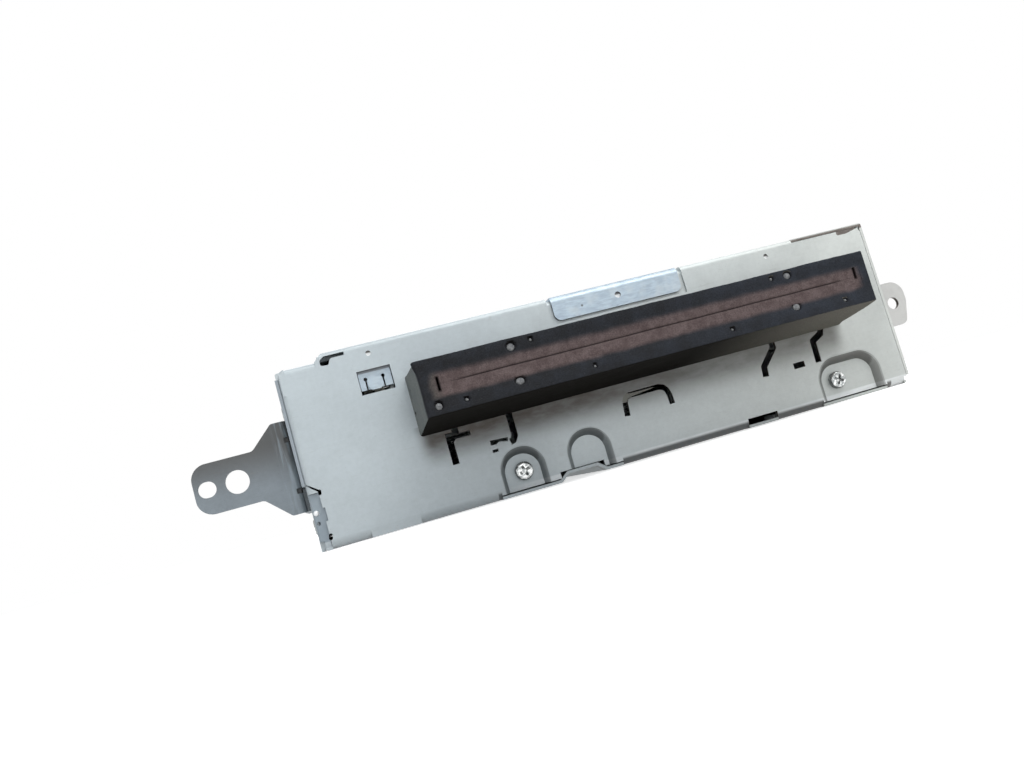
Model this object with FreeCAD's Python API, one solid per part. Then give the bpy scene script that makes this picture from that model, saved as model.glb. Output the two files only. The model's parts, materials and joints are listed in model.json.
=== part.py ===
import FreeCAD, Part
import math
import os

# Slot-loading disc deck for a car: a flat steel case with a foam dust seal in front,
# and inside it a roller loader, a sprung deck with the spindle and pickup, and a clamp arm.
# Millimetres. +X is right seen from the front, +Y goes into the case, +Z is up.
# The origin is the centre of the case's underside.

os.makedirs("parts", exist_ok=True)

# Driving dimensions of the case
WIDTH = 178.0
DEPTH = 160.0
HEIGHT = 50.0
SHEET = 1.0
COVER = 0.8
BEND = 1.5
FRONT = -DEPTH / 2
BACK = DEPTH / 2
SHELL_HALF = WIDTH / 2 - COVER
SHELL_IN = SHELL_HALF - SHEET
SHELL_TOP = HEIGHT - COVER
FLANGE = 9.0
FLOOR_GAP = 1.15
FOOT_LIFT = 0.1
FOOT_BEND = 2.2
COVER_NOTCH = 4.0

# Pressed recesses along the foot of the front wall
RECESS_DEPTH = 2.0
RECESS_STEPS = 6
RECESSES = [
    {"x": -32.0, "half": 6.6, "floor_half": 4.95, "top": 12.9, "floor_top": 10.6,
     "round": 6.3, "floor_round": 4.7},
    {"x": -12.85, "half": 6.7, "floor_half": 4.9, "top": 12.9, "floor_top": 10.7,
     "round": 6.3, "floor_round": 4.7},
    {"x": 69.7, "half": 10.8, "floor_half": 8.4, "top": 13.6, "floor_top": 11.1,
     "round": 7.0, "floor_round": 4.8},
]
FRONT_SCREWS = [(-31.8, 5.95), (66.0, 6.4)]

# Foot of the front wall: bent under, left plain, or open above the bottom cover's edge
FLANGE_SPANS = [(-85.3, -75.0), (-61.8, -39.5), (-4.5, 34.5), (43.9, 58.9), (80.5, 86.4)]
PLAIN_SPANS = [(-75.0, -61.8)]
OPEN_SPANS = [(-39.5, -4.5), (58.9, 80.5)]
NOTCH_SPAN = (34.5, 43.9)
CHANNEL_LEFT = -22.9
CHANNEL_RIGHT = -9.3
CHANNEL_RISE = 1.85
CHANNEL_SLOPE = 2.3

# Folded front tab of the top cover
TAB_LEFT = -11.9
TAB_RIGHT = 26.8
TAB_FOOT = 43.0
TAB_POCKET = 0.7
POCKET_MARGIN = 1.3

# Disc path
DISC_X = 5.7
DISC_Y = -4.0
DISC_UNDER = 30.8
SLOT_HALF = 61.7
SLOT_LOW = 28.2
SLOT_HIGH = 34.4

# Foam seal
FOAM_FRONT = FRONT - 25.6
FOAM_FACE = (-56.4, 67.8, 23.9, 38.15)
FOAM_BASE = (-56.4, 71.8, 21.8, 38.6)
LIP_FRONT = FRONT - 24.2
LIP_THICK = 1.2
LIP_SPLIT = 31.4
UPPER_HINGE_Z = 34.9
LOWER_HINGE_Z = 27.7
LIP_GAP = 0.2

# Loader: roller, gears and cam slider, all with axes along X
MECH_HALF = 66.0
MECH_LEFT = DISC_X - MECH_HALF
MECH_RIGHT = DISC_X + MECH_HALF
MECH_FLOOR = 10.0
MECH_TOP = 42.0
ARM_PIVOT = (-54.0, 25.42)
ROLLER_AXIS = (-70.0, 27.7)
SHAFT_R = 1.25
MODULE = 0.5
FINE_MODULE = 0.4
ROLLER_TEETH = 18
IDLER_TEETH = 24
SMALL_TEETH = 16
LARGE_TEETH = 36
PINION_TEETH = 12
MODE_TEETH = 20
IDLER_AXIS = (-70.0, 38.2)
DOUBLE_AXIS = (-60.0, 38.2)
PINION_AXIS = (-48.0, 38.2)
POST_R = 1.0
BORE_R = 1.05
SLIDER_TRAVEL = 12.0
ARM_PIN = (-44.0, 25.42)
ARM_SWING = 16.0
CLAMP_PIVOT = (62.5, 34.5)
CLAMP_PIN = (20.0, 38.5)
CLAMP_SWING = 4.2

# Sprung deck
DECK_LOW = 21.0
DECK_TOP = 22.2
DAMPERS = [(-42.0, -32.0), (54.0, -32.0), (-42.0, 62.0), (54.0, 62.0)]
ROD_OFFSET = 21.0
ROD_R = 1.5
ROD_Z = 24.0
LENS_Y = 19.0
RACK_X = 35.7
SLED_GEAR = (38.7, 28.0)
SLED_LARGE_TEETH = 40
SLED_SMALL_TEETH = 12
SLED_PINION_TEETH = 12
LEVER_OFFSET = 50.0
LEVER_Y = -36.0
LEVER_PIN = (17.0, -19.5)

# Board
BOARD_LOW = 4.0
BOARD_TOP = 5.6
BOARD_POSTS = [(x, y) for x in (-76.0, 0.0, 76.0) for y in (-58.0, 58.0)]

PRESSURE_ANGLE = math.radians(25.0)
BACKLASH = 0.1


def point(plane, u, v, w):
    """Place in space of a point drawn on one of the three main planes."""
    if plane == "XY":
        return FreeCAD.Vector(u, v, w)
    if plane == "XZ":
        return FreeCAD.Vector(u, w, v)
    return FreeCAD.Vector(w, u, v)


def outline(plane, corners, w):
    """Closed wire through corners (u, v) or (u, v, radius)."""
    count = len(corners)
    starts = []
    ends = []
    middles = []
    for i in range(count):
        here = corners[i]
        before = corners[i - 1]
        after = corners[(i + 1) % count]
        radius = here[2] if len(here) > 2 else 0.0
        if radius <= 0:
            starts.append((here[0], here[1]))
            ends.append((here[0], here[1]))
            middles.append(None)
            continue
        au, av = before[0] - here[0], before[1] - here[1]
        bu, bv = after[0] - here[0], after[1] - here[1]
        la, lb = math.hypot(au, av), math.hypot(bu, bv)
        au, av, bu, bv = au / la, av / la, bu / lb, bv / lb
        half = math.acos(max(-1.0, min(1.0, au * bu + av * bv))) / 2
        reach = radius / math.tan(half)
        su, sv = au + bu, av + bv
        ls = math.hypot(su, sv)
        su, sv = su / ls, sv / ls
        away = radius / math.sin(half) - radius
        starts.append((here[0] + au * reach, here[1] + av * reach))
        ends.append((here[0] + bu * reach, here[1] + bv * reach))
        middles.append((here[0] + su * away, here[1] + sv * away))
    edges = []
    for i in range(count):
        if middles[i] is not None:
            a = point(plane, starts[i][0], starts[i][1], w)
            m = point(plane, middles[i][0], middles[i][1], w)
            b = point(plane, ends[i][0], ends[i][1], w)
            edges.append(Part.Arc(a, m, b).toShape())
        nxt = starts[(i + 1) % count]
        a = point(plane, ends[i][0], ends[i][1], w)
        b = point(plane, nxt[0], nxt[1], w)
        if a.distanceToPoint(b) > 1e-6:
            edges.append(Part.makeLine(a, b))
    return Part.Wire(edges)


def plate(plane, corners, start, end):
    """Flat or bent piece: an outline drawn on a plane and pushed from start to end."""
    face = Part.Face(outline(plane, corners, start))
    return face.extrude(point(plane, 0.0, 0.0, end - start))


def box(x0, x1, y0, y1, z0, z1):
    return Part.makeBox(x1 - x0, y1 - y0, z1 - z0, FreeCAD.Vector(x0, y0, z0))


def rod(axis, a, b, radius, start, end):
    """Cylinder along X (a, b = y, z), Y (x, z) or Z (x, y)."""
    if axis == "X":
        return Part.makeCylinder(radius, end - start, FreeCAD.Vector(start, a, b), FreeCAD.Vector(1, 0, 0))
    if axis == "Y":
        return Part.makeCylinder(radius, end - start, FreeCAD.Vector(a, start, b), FreeCAD.Vector(0, 1, 0))
    return Part.makeCylinder(radius, end - start, FreeCAD.Vector(a, b, start), FreeCAD.Vector(0, 0, 1))


def ring(axis, a, b, radius, bore, start, end):
    return rod(axis, a, b, radius, start, end).cut(rod(axis, a, b, bore, start, end))


def joined(shapes):
    """One piece from overlapping shapes."""
    whole = shapes[0]
    if len(shapes) > 1:
        whole = whole.fuse(list(shapes[1:]))
    return whole.removeSplitter()


def less(shape, tools):
    return shape.cut(list(tools)).removeSplitter()


def save(name, shapes):
    """Write one node: a single solid or a group of like solids."""
    solids = []
    for shape in shapes:
        solids.extend(shape.Solids)
    whole = solids[0] if len(solids) == 1 else Part.makeCompound(solids)
    whole.exportStep("parts/" + name + ".step")
    ok = all(s.isValid() and s.Volume > 0 for s in solids)
    print(name, len(solids), "solids", round(whole.Volume, 2), "mm3", "" if ok else "NOT VALID")


def stroke(plane, track, width, start, end):
    """Slot cutter that follows a track of points, with square ends."""
    pieces = []
    for i in range(len(track) - 1):
        (u0, v0), (u1, v1) = track[i], track[i + 1]
        length = math.hypot(u1 - u0, v1 - v0)
        nu, nv = -(v1 - v0) / length * width / 2, (u1 - u0) / length * width / 2
        corners = [(u0 + nu, v0 + nv), (u1 + nu, v1 + nv), (u1 - nu, v1 - nv), (u0 - nu, v0 - nv)]
        pieces.append(plate(plane, corners, start, end))
    axis = {"XY": "Z", "XZ": "Y", "YZ": "X"}[plane]
    for u, v in track[1:-1]:
        pieces.append(rod(axis, u, v, width / 2, start, end))
    return joined(pieces)


def capsule(plane, a, b, radius, start, end):
    """Plate or slot with round ends between two points."""
    axis = {"XY": "Z", "XZ": "Y", "YZ": "X"}[plane]
    middle = stroke(plane, [a, b], 2 * radius, start, end)
    ends = [rod(axis, u, v, radius, start, end) for u, v in (a, b)]
    return joined([middle] + ends)


def involute(angle):
    return math.tan(angle) - angle


def gear(axis, centre, module, teeth, turn, start, end):
    """Spur gear with involute flanks; one tooth centre lies at the angle turn."""
    plane = "YZ" if axis == "X" else "XY"
    pitch_r = module * teeth / 2
    base_r = pitch_r * math.cos(PRESSURE_ANGLE)
    tip_r = pitch_r + 0.9 * module
    root_r = pitch_r - 1.2 * module
    half_at_pitch = (math.pi * module / 2 - BACKLASH) / (2 * pitch_r)

    def flank_angle(radius):
        if radius <= base_r:
            return half_at_pitch + involute(PRESSURE_ANGLE)
        return half_at_pitch + involute(PRESSURE_ANGLE) - involute(math.acos(base_r / radius))

    def at(radius, angle):
        u = centre[0] + radius * math.cos(angle)
        v = centre[1] + radius * math.sin(angle)
        return point(plane, u, v, start)

    low_r = max(base_r, root_r)
    radii = [low_r + (tip_r - low_r) * k / 3 for k in range(4)]
    edges = []
    step = 2 * math.pi / teeth
    for i in range(teeth):
        mid = turn + i * step
        foot = flank_angle(low_r)
        tip = flank_angle(tip_r)
        if root_r < low_r:
            edges.append(Part.makeLine(at(root_r, mid - foot), at(low_r, mid - foot)))
        rising = Part.BSplineCurve()
        rising.interpolate([at(r, mid - flank_angle(r)) for r in radii])
        edges.append(rising.toShape())
        edges.append(Part.Arc(at(tip_r, mid - tip), at(tip_r, mid), at(tip_r, mid + tip)).toShape())
        falling = Part.BSplineCurve()
        falling.interpolate([at(r, mid + flank_angle(r)) for r in reversed(radii)])
        edges.append(falling.toShape())
        if root_r < low_r:
            edges.append(Part.makeLine(at(low_r, mid + foot), at(root_r, mid + foot)))
        gap_start, gap_end = mid + foot, mid + step - foot
        gap_mid = (gap_start + gap_end) / 2
        edges.append(Part.Arc(at(root_r, gap_start), at(root_r, gap_mid), at(root_r, gap_end)).toShape())
    face = Part.Face(Part.Wire(edges))
    return face.extrude(point(plane, 0.0, 0.0, end - start))


def turn_in_mesh(turn, teeth, other_teeth, direction):
    """Turn of a second gear so that it meshes; direction points from the first gear to the second."""
    step = 2 * math.pi / teeth
    ahead = (turn - direction) % step
    return direction + math.pi - ahead * teeth / other_teeth + math.pi / other_teeth


def rack_teeth(plane, gap_at, line, away, module, first, last, start, end):
    """Row of rack teeth along the plane's chosen axis; gap_at is the place of one gap."""
    pitch = math.pi * module
    half = (pitch / 2 - BACKLASH) / 2
    slope = math.tan(PRESSURE_ANGLE)
    tip = 0.9 * module
    root = 1.3 * module
    teeth = []
    count = int((last - first) / pitch) + 2
    base = gap_at + pitch / 2 - math.floor((gap_at + pitch / 2 - first) / pitch) * pitch
    for i in range(count):
        at = base + i * pitch
        if at - pitch / 2 < first or at + pitch / 2 > last:
            continue
        wide, narrow = half + root * slope, half - tip * slope
        low, high = line - away * root, line + away * tip
        if plane == "YZ":
            corners = [(at - wide, low), (at - narrow, high), (at + narrow, high), (at + wide, low)]
        else:
            corners = [(low, at - wide), (high, at - narrow), (high, at + narrow), (low, at + wide)]
        teeth.append(plate(plane, corners, start, end))
    return teeth


def screw(head_at, away, head_r, head_high, shank_r, length, turned=0.0):
    """Cross-recessed pan head screw; away points out of the head, turned is the cross's turn in degrees."""
    head = Part.makeCylinder(head_r, head_high)
    rim = [e for e in head.Edges if abs(e.BoundBox.ZMin - head_high) < 1e-6]
    head = head.makeFillet(head_high * 0.45, rim)
    reach = head_r * 0.60
    blade = head_r * 0.30
    floor = head_high * 0.30
    funnel = Part.makeCone(reach * 0.45, reach, head_high - floor, FreeCAD.Vector(0, 0, floor))
    for long_x, long_y in ((reach, blade / 2), (blade / 2, reach)):
        bar = Part.makeBox(2 * long_x, 2 * long_y, head_high, FreeCAD.Vector(-long_x, -long_y, floor))
        head = head.cut(bar.common(funnel))
    shank = Part.makeCylinder(shank_r, length, FreeCAD.Vector(0, 0, -length))
    whole = joined([head, shank])
    whole.rotate(FreeCAD.Vector(0, 0, 0), FreeCAD.Vector(0, 0, 1), turned)
    aim = FreeCAD.Rotation(FreeCAD.Vector(0, 0, 1), FreeCAD.Vector(*away))
    whole.Placement = FreeCAD.Placement(FreeCAD.Vector(*head_at), aim).multiply(whole.Placement)
    return whole


def coil(axis, centre, start, end, radius, wire_r, turns):
    """Coil spring between two positions along Z or X."""
    height = end - start - 2 * wire_r
    helix = Part.makeLongHelix(height / turns, height, radius)
    section = Part.Wire([Part.makeCircle(wire_r, FreeCAD.Vector(radius, 0, 0), FreeCAD.Vector(0, 1, 0))])
    spring = Part.Wire(helix.Edges).makePipeShell([section], True, True)
    spring = Part.Solid(spring) if not spring.Solids else spring.Solids[0]
    if axis == "Z":
        spring.Placement = FreeCAD.Placement(FreeCAD.Vector(centre[0], centre[1], start + wire_r),
                                             FreeCAD.Rotation())
    else:
        turn = FreeCAD.Rotation(FreeCAD.Vector(0, 0, 1), FreeCAD.Vector(1, 0, 0))
        spring.Placement = FreeCAD.Placement(FreeCAD.Vector(start + wire_r, centre[0], centre[1]), turn)
    return spring


# Case

def stepped_bend(x0, x1):
    """Upper strip of the front wall, bent back level with the top cover, then stepped down under it."""
    y = FRONT
    corners = [(y, TAB_FOOT - 2), (y, HEIGHT, BEND), (y + 4.0, HEIGHT), (y + 4.6, SHELL_TOP),
               (y + FLANGE, SHELL_TOP), (y + FLANGE, SHELL_TOP - SHEET), (y + 4.2, SHELL_TOP - SHEET),
               (y + 3.6, HEIGHT - SHEET), (y + SHEET, HEIGHT - SHEET, BEND - SHEET),
               (y + SHEET, TAB_FOOT - 2)]
    return plate("YZ", corners, x0, x1)


def top_bend(set_back, top, reach, x0, x1):
    """Upper strip of the front wall, bent straight back at a given height."""
    y = FRONT + set_back
    corners = [(y, TAB_FOOT - 2), (y, top, BEND), (y + reach, top), (y + reach, top - SHEET),
               (y + SHEET, top - SHEET, BEND - SHEET), (y + SHEET, TAB_FOOT - 2)]
    return plate("YZ", corners, x0, x1)


def bottom_bend(x0, x1):
    """Lower strip of the front wall, bent under level with the bottom cover, then stepped up over it."""
    far = FRONT + FLANGE
    step = FRONT + COVER_NOTCH
    corners = [(FRONT, 6.0), (FRONT, FOOT_LIFT, FOOT_BEND), (step - 0.6, FOOT_LIFT), (step - 0.1, COVER),
               (far, COVER), (far, COVER + SHEET), (step - 0.6, COVER + SHEET),
               (step - 1.1, FOOT_LIFT + SHEET), (FRONT + SHEET, FOOT_LIFT + SHEET, FOOT_BEND - SHEET),
               (FRONT + SHEET, 6.0)]
    return plate("YZ", corners, x0, x1)


def recess_dish(recess, shift):
    """Dish with a soft rim, walls that grow steeper and a flat floor, moved back by shift."""
    wires = []
    for step in range(RECESS_STEPS + 1):
        share = step / RECESS_STEPS
        sunk = share * share
        half = recess["half"] + share * (recess["floor_half"] - recess["half"])
        top = recess["top"] + share * (recess["floor_top"] - recess["top"])
        radius = recess["round"] + share * (recess["floor_round"] - recess["round"])
        corners = [(recess["x"] - half, -4.0), (recess["x"] - half, top, radius),
                   (recess["x"] + half, top, radius), (recess["x"] + half, -4.0)]
        wires.append(outline("XZ", corners, FRONT + shift + RECESS_DEPTH * sunk))
    return Part.makeLoft(wires, True, True)


LANCE_WIDTH = 1.6
LANCE_TRACK = [(0.3, 12.6), (0.7, 16.5), (1.2, 17.5), (2.3, 18.05), (11.3, 18.15), (12.7, 17.7), (13.5, 16.7),
               (13.9, 15.2), (14.0, 12.6)]


def key_slot(y0, y1):
    """Thin sloping slot with an upright end, at the left edge of the front wall."""
    line = plate("XZ", [(-88.4, 18.1), (-85.1, 15.6), (-85.1, 14.9), (-88.4, 17.6)], y0, y1)
    return [line, capsule("XZ", (-85.0, 15.2), (-85.05, 14.6), 0.42, y0, y1)]


def front_slots():
    """Hook-shaped and straight slots cut in the front wall below the seal."""
    y0, y1 = FRONT - 1, FRONT + SHEET + 0.4
    tracks = [
        ([(-49.2, 12.4), (-49.2, 18.6), (-47.2, 20.6), (-47.2, 25.5)], 1.8),
        ([(-49.2, 18.6), (-49.2, 20.9)], 1.8),
        ([(-47.6, 19.6), (-43.4, 19.6)], 1.3),
        ([(-33.5, 14.35), (-32.6, 14.6), (-31.9, 15.8), (-31.9, 26.0)], 1.8),
        ([(-38.9, 13.1), (-37.3, 13.1)], 0.8),
        (LANCE_TRACK, LANCE_WIDTH),
        ([(48.3, 25.8), (48.6, 20.4), (44.1, 15.7), (43.8, 12.8)], 1.9),
        ([(62.0, 23.8), (65.0, 22.4), (64.4, 20.7), (61.4, 19.2), (61.2, 12.8)], 1.9),
        ([(53.1, 13.5), (56.7, 13.5)], 1.7),
    ]
    cutters = [stroke("XZ", track, width, y0, y1) for track, width in tracks]
    cutters.append(plate("XZ", [(-70.1, 48.9), (-70.2, 48.0), (-74.0, 48.0, 0.9), (-74.7, 46.35, 0.5),
                                (-76.9, 46.55, 0.6), (-76.7, 48.0, 0.6), (-75.5, 48.9, 0.5)], y0, FRONT + 2))
    cutters.append(plate("XZ", [(-38.9, 16.1), (-33.9, 15.8), (-34.1, 14.8), (-35.2, 14.9), (-36.1, 15.2),
                                (-36.8, 15.1), (-37.4, 14.7), (-38.9, 14.8)], y0, y1))
    cutters += key_slot(y0, y1)
    for x, z in ((-64.0, 46.9), (55.1, 46.8)):
        cutters.append(rod("Y", x, z, 0.7, y0, FRONT + 0.5))
    return cutters


def lanced_edge():
    """Bent-in edge of the tab under the seal, which shows inside its U-shaped slot."""
    return plate("XZ", [(-0.9, 16.4), (1.9, 16.4), (2.3, 16.8), (3.0, 17.0), (3.1, 17.5), (6.8, 17.95),
                        (10.2, 18.3), (9.6, 18.5), (2.4, 18.5), (1.6, 19.6), (-0.9, 19.6)], FRONT + 0.45,
                 FRONT + SHEET + 0.3)


def chassis_shell():
    half, inside = SHELL_HALF, SHELL_IN
    walls = [(-half, BACK), (-half, FRONT, BEND), (half, FRONT, BEND), (half, BACK), (inside, BACK),
             (inside, FRONT + SHEET, BEND - SHEET), (-inside, FRONT + SHEET, BEND - SHEET), (-inside, BACK)]
    shell = plate("XY", walls, 0.0, SHELL_TOP - 0.4)
    strip = FRONT + BEND
    corner = (-77.4, 47.9, 17.0)
    pocket = (TAB_LEFT - POCKET_MARGIN, TAB_RIGHT + POCKET_MARGIN)
    right_end = FLANGE_SPANS[-1][1]
    trims = [
        box(-half - 1, right_end - 1.0, FRONT - 1, FRONT + FOOT_BEND, -1, 2.6),
        box(right_end - 1.0, half + 1, FRONT - 1, FRONT + FOOT_BEND, -1, 1.9),
        box(-half + 2, 80.0, FRONT - 1, strip, TAB_FOOT + 2.5, HEIGHT),
        box(-half - 1, corner[0], FRONT - 1, FRONT + corner[2], corner[1], HEIGHT),
        box(pocket[0], pocket[1], FRONT - 1, strip, TAB_FOOT - 0.8, HEIGHT),
    ]
    shell = less(shell, trims)
    parts = [shell]
    for x0, x1 in FLANGE_SPANS:
        parts.append(bottom_bend(x0, x1))
    for x0, x1 in OPEN_SPANS:
        parts.append(box(x0, x1, FRONT, FRONT + SHEET, FLOOR_GAP, 4.0))
    for x0, x1 in PLAIN_SPANS:
        parts.append(box(x0, x1, FRONT, FRONT + SHEET, FOOT_LIFT, 4.0))
    wall_lap = 0.5
    parts.append(top_bend(0.0, corner[1], corner[2], -SHELL_IN - 0.5, corner[0] + 0.5))
    parts.append(stepped_bend(corner[0] - 0.7, pocket[0]))
    parts.append(stepped_bend(pocket[1], 64.5))
    parts.append(top_bend(TAB_POCKET, SHELL_TOP, FLANGE, pocket[0] - wall_lap, pocket[1] + wall_lap))
    parts.append(box(64.5, 80.1, FRONT, FRONT + SHEET, TAB_FOOT + 2, 48.9))
    shell = joined(parts)
    for recess in RECESSES:
        hollow = recess_dish(recess, 0.0)
        skin = recess_dish(recess, SHEET).cut(hollow)
        shell = shell.cut(hollow).fuse(skin)
    cutters = front_slots()
    for x0, x1 in OPEN_SPANS:
        cutters.append(box(x0 - 0.05, x1 + 0.05, FRONT - 1, FRONT + 4, -9, FLOOR_GAP))
    channel_room = COVER + CHANNEL_RISE + 0.2
    cutters.append(box(CHANNEL_LEFT + 0.3, CHANNEL_RIGHT + 0.1, FRONT - 1, FRONT + 4, -9, channel_room))
    cutters.append(box(-68.3, -59.3, FRONT - 1, FRONT + 2, 36.3, 42.7))
    cutters.append(box(-69.0, -58.7, FRONT + 4.0, FRONT + 6.2, 47, HEIGHT))
    slope = [(-90.0, corner[1]), (corner[0] - 0.7, corner[1], 1.2), (corner[0] + 1.5, HEIGHT + 0.01, 1.2),
             (-72.0, HEIGHT + 0.01), (-72.0, 52.0), (-90.0, 52.0)]
    cutters.append(plate("XZ", slope, FRONT - 1, FRONT + 12))
    round_r = 2.2
    shoulder = box(-half, -half + round_r, FRONT - 1, FRONT + corner[2], corner[1] - round_r, corner[1])
    cutters.append(shoulder.cut(rod("Y", -half + round_r, corner[1] - round_r, round_r, FRONT - 2,
                                    FRONT + corner[2] + 1)))
    cutters.append(box(DISC_X - SLOT_HALF, DISC_X + SLOT_HALF, FRONT - 1, FRONT + 2, SLOT_LOW, SLOT_HIGH))
    cutters.append(box(-half - 1, -85.3, FRONT - 1, WING_FRONT, -1, WING_TOP))
    cutters.append(box(-half - 1, -half + 1.8, FRONT - 1, WING_FRONT + COVER + 0.05, -1, WING_TOP))
    cutters.append(capsule("XZ", (-85.05, 3.6), (-85.2, 2.9), 0.5, FRONT - 1, FRONT + 1.5))
    cutters.append(box(-86.0, -84.7, FRONT - 1, WING_FRONT, 7.4, 10.9))
    x0, x1 = NOTCH_SPAN
    cutters.append(box(x0, x1, FRONT - 1, FRONT + 2, -1, 2.1))
    for x in (x0, x1 - 1.2):
        cutters.append(box(x, x + 1.2, FRONT - 1, FRONT + 2, -1, 2.5))
    cutters.append(box(right_end, half + 1, FRONT - 1, FRONT + 2.5, -1, 1.9))
    cutters.append(rod("Y", half - 0.4, 48.3, 0.65, FRONT - 1, FRONT + 6))
    cutters.append(plate("XZ", [(79.6, HEIGHT), (79.6, 48.1), (80.0, 47.75), (82.8, 47.75), (87.1, 48.7),
                                (87.1, HEIGHT)], FRONT - 1, FRONT + SHEET + 0.1))
    for x, z in FRONT_SCREWS:
        cutters.append(rod("Y", x, z, 1.4, FRONT, FRONT + 4))
    for side in (-1, 1):
        for y, z in SIDE_SCREWS + BRACKET_SCREWS:
            cutters.append(rod("X", y, z, 1.5, side * half - 3, side * half + 3))
    return joined([less(shell, cutters), lanced_edge()])


WING_FRONT = FRONT + 1.1
WING_TOP = 15.0
SIDE_SCREWS = [(-20.0, 44.0), (40.0, 44.0), (74.0, 40.0), (74.0, 12.0), (-20.0, 6.5), (50.0, 6.5)]
BRACKET_SCREWS = [(-60.0, 27.0), (-38.0, 27.0)]
LEFT_APRON_FOOT = 17.4
RIGHT_APRON_FOOT = 2.2


def pressed_rib(sheet, x0, x1, y0, y1):
    """Rib pressed down into the top sheet by its own thickness."""
    groove = box(x0, x1, y0, y1, SHELL_TOP, HEIGHT + 1)
    under = box(x0 - COVER, x1 + COVER, y0 - COVER, y1 + COVER, SHELL_TOP - COVER, SHELL_TOP)
    return sheet.cut(groove).fuse(under)


def top_cover():
    half = WIDTH / 2
    low = SHELL_TOP
    section = [(-half, LEFT_APRON_FOOT), (-half, HEIGHT, 0.6), (half, HEIGHT, 0.6), (half, RIGHT_APRON_FOOT),
               (SHELL_HALF, RIGHT_APRON_FOOT), (SHELL_HALF, low, 0.1), (-SHELL_HALF, low, 0.1),
               (-SHELL_HALF, LEFT_APRON_FOOT)]
    sheet = plate("XZ", section, FRONT + COVER, BACK)
    face = FRONT - 0.1
    tab = plate("YZ", [(face, TAB_FOOT), (face, HEIGHT, 1.8), (FRONT + 6, HEIGHT), (FRONT + 6, low),
                       (face + COVER, low, 1.0), (face + COVER, TAB_FOOT)], TAB_LEFT, TAB_RIGHT)
    corner = 2.0
    for x, side in ((TAB_LEFT, 1), (TAB_RIGHT, -1)):
        block = box(min(x, x + side * corner), max(x, x + side * corner), FRONT - 1, FRONT + 1,
                    TAB_FOOT, TAB_FOOT + corner)
        round_off = rod("Y", x + side * corner, TAB_FOOT + corner, corner, FRONT - 1, FRONT + 1)
        tab = tab.cut(block.cut(round_off))
    tab = tab.cut(rod("Y", 7.6, 46.2, 0.9, FRONT - 1, face + 0.4))
    hang = FRONT + 4.7
    near = FRONT + SHEET + 0.05
    course = [(hang, HEIGHT, COVER), (hang, 47.4), (near, 44.6), (near, 37.5), (near + COVER, 37.5),
              (near + COVER, 44.2), (hang + COVER, 47.0), (hang + COVER, low), (hang + 3.0, low),
              (hang + 3.0, HEIGHT)]
    tongue = plate("YZ", course, -68.1, -59.5)
    barb = plate("XZ", [(-66.0, 40.4), (-66.0, 37.2, 1.2), (-62.1, 37.2, 1.2), (-62.1, 40.4)],
                 FRONT + 0.5, near + 0.3)
    set_backs = [box(-77.2, TAB_LEFT, FRONT, FRONT + 5.5, low - 1, HEIGHT + 1),
                 box(TAB_RIGHT, 64.6, FRONT, FRONT + 5.5, low - 1, HEIGHT + 1),
                 box(-half - 1, -77.2, FRONT, FRONT + 15.5, 45.8, HEIGHT + 1)]
    sheet = less(sheet, set_backs)
    flap = box(79.2, 86.9, near, near + COVER, 47.0, low + 0.3)
    sheet = joined([sheet, tab, tongue, barb, flap])
    reliefs = [rod("Y", x, z, 0.5, near - 1, near + 1) for x, z in ((-66.4, 40.4), (-61.7, 40.4))]
    reliefs += [box(x - 0.2, x + 0.2, near - 1, near + 1, 37.0, 40.4) for x in (-66.4, -61.7)]
    sheet = less(sheet, reliefs)
    for y in (-48.0, 0.0, 24.0):
        sheet = pressed_rib(sheet, -56.0, 66.0, y, y + 4)
    vents = [capsule("XY", (x, 46.0), (x, 62.0), 1.4, low - 2, HEIGHT + 1) for x in range(10, 66, 9)]
    holes = []
    for y, z in SIDE_SCREWS + BRACKET_SCREWS:
        for side in (-1, 1):
            holes.append(rod("X", y, z, 1.6, side * half - 2, side * half + 2))
    return less(sheet, vents + holes)


def channel(foot, level, narrower, back):
    """Solid under the softly bent channel line of the bottom cover; level is the height beside it."""
    left, right = CHANNEL_LEFT + narrower, CHANNEL_RIGHT - narrower
    top = level + CHANNEL_RISE
    bend = 0.9
    corners = [(left - 2.0, foot), (left - 2.0, level), (left, level, bend),
               (left + CHANNEL_SLOPE, top, bend), (right - CHANNEL_SLOPE, top, bend),
               (right, level, bend), (right + 2.0, level), (right + 2.0, foot)]
    return plate("XZ", corners, FRONT + 0.4, back)


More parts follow.
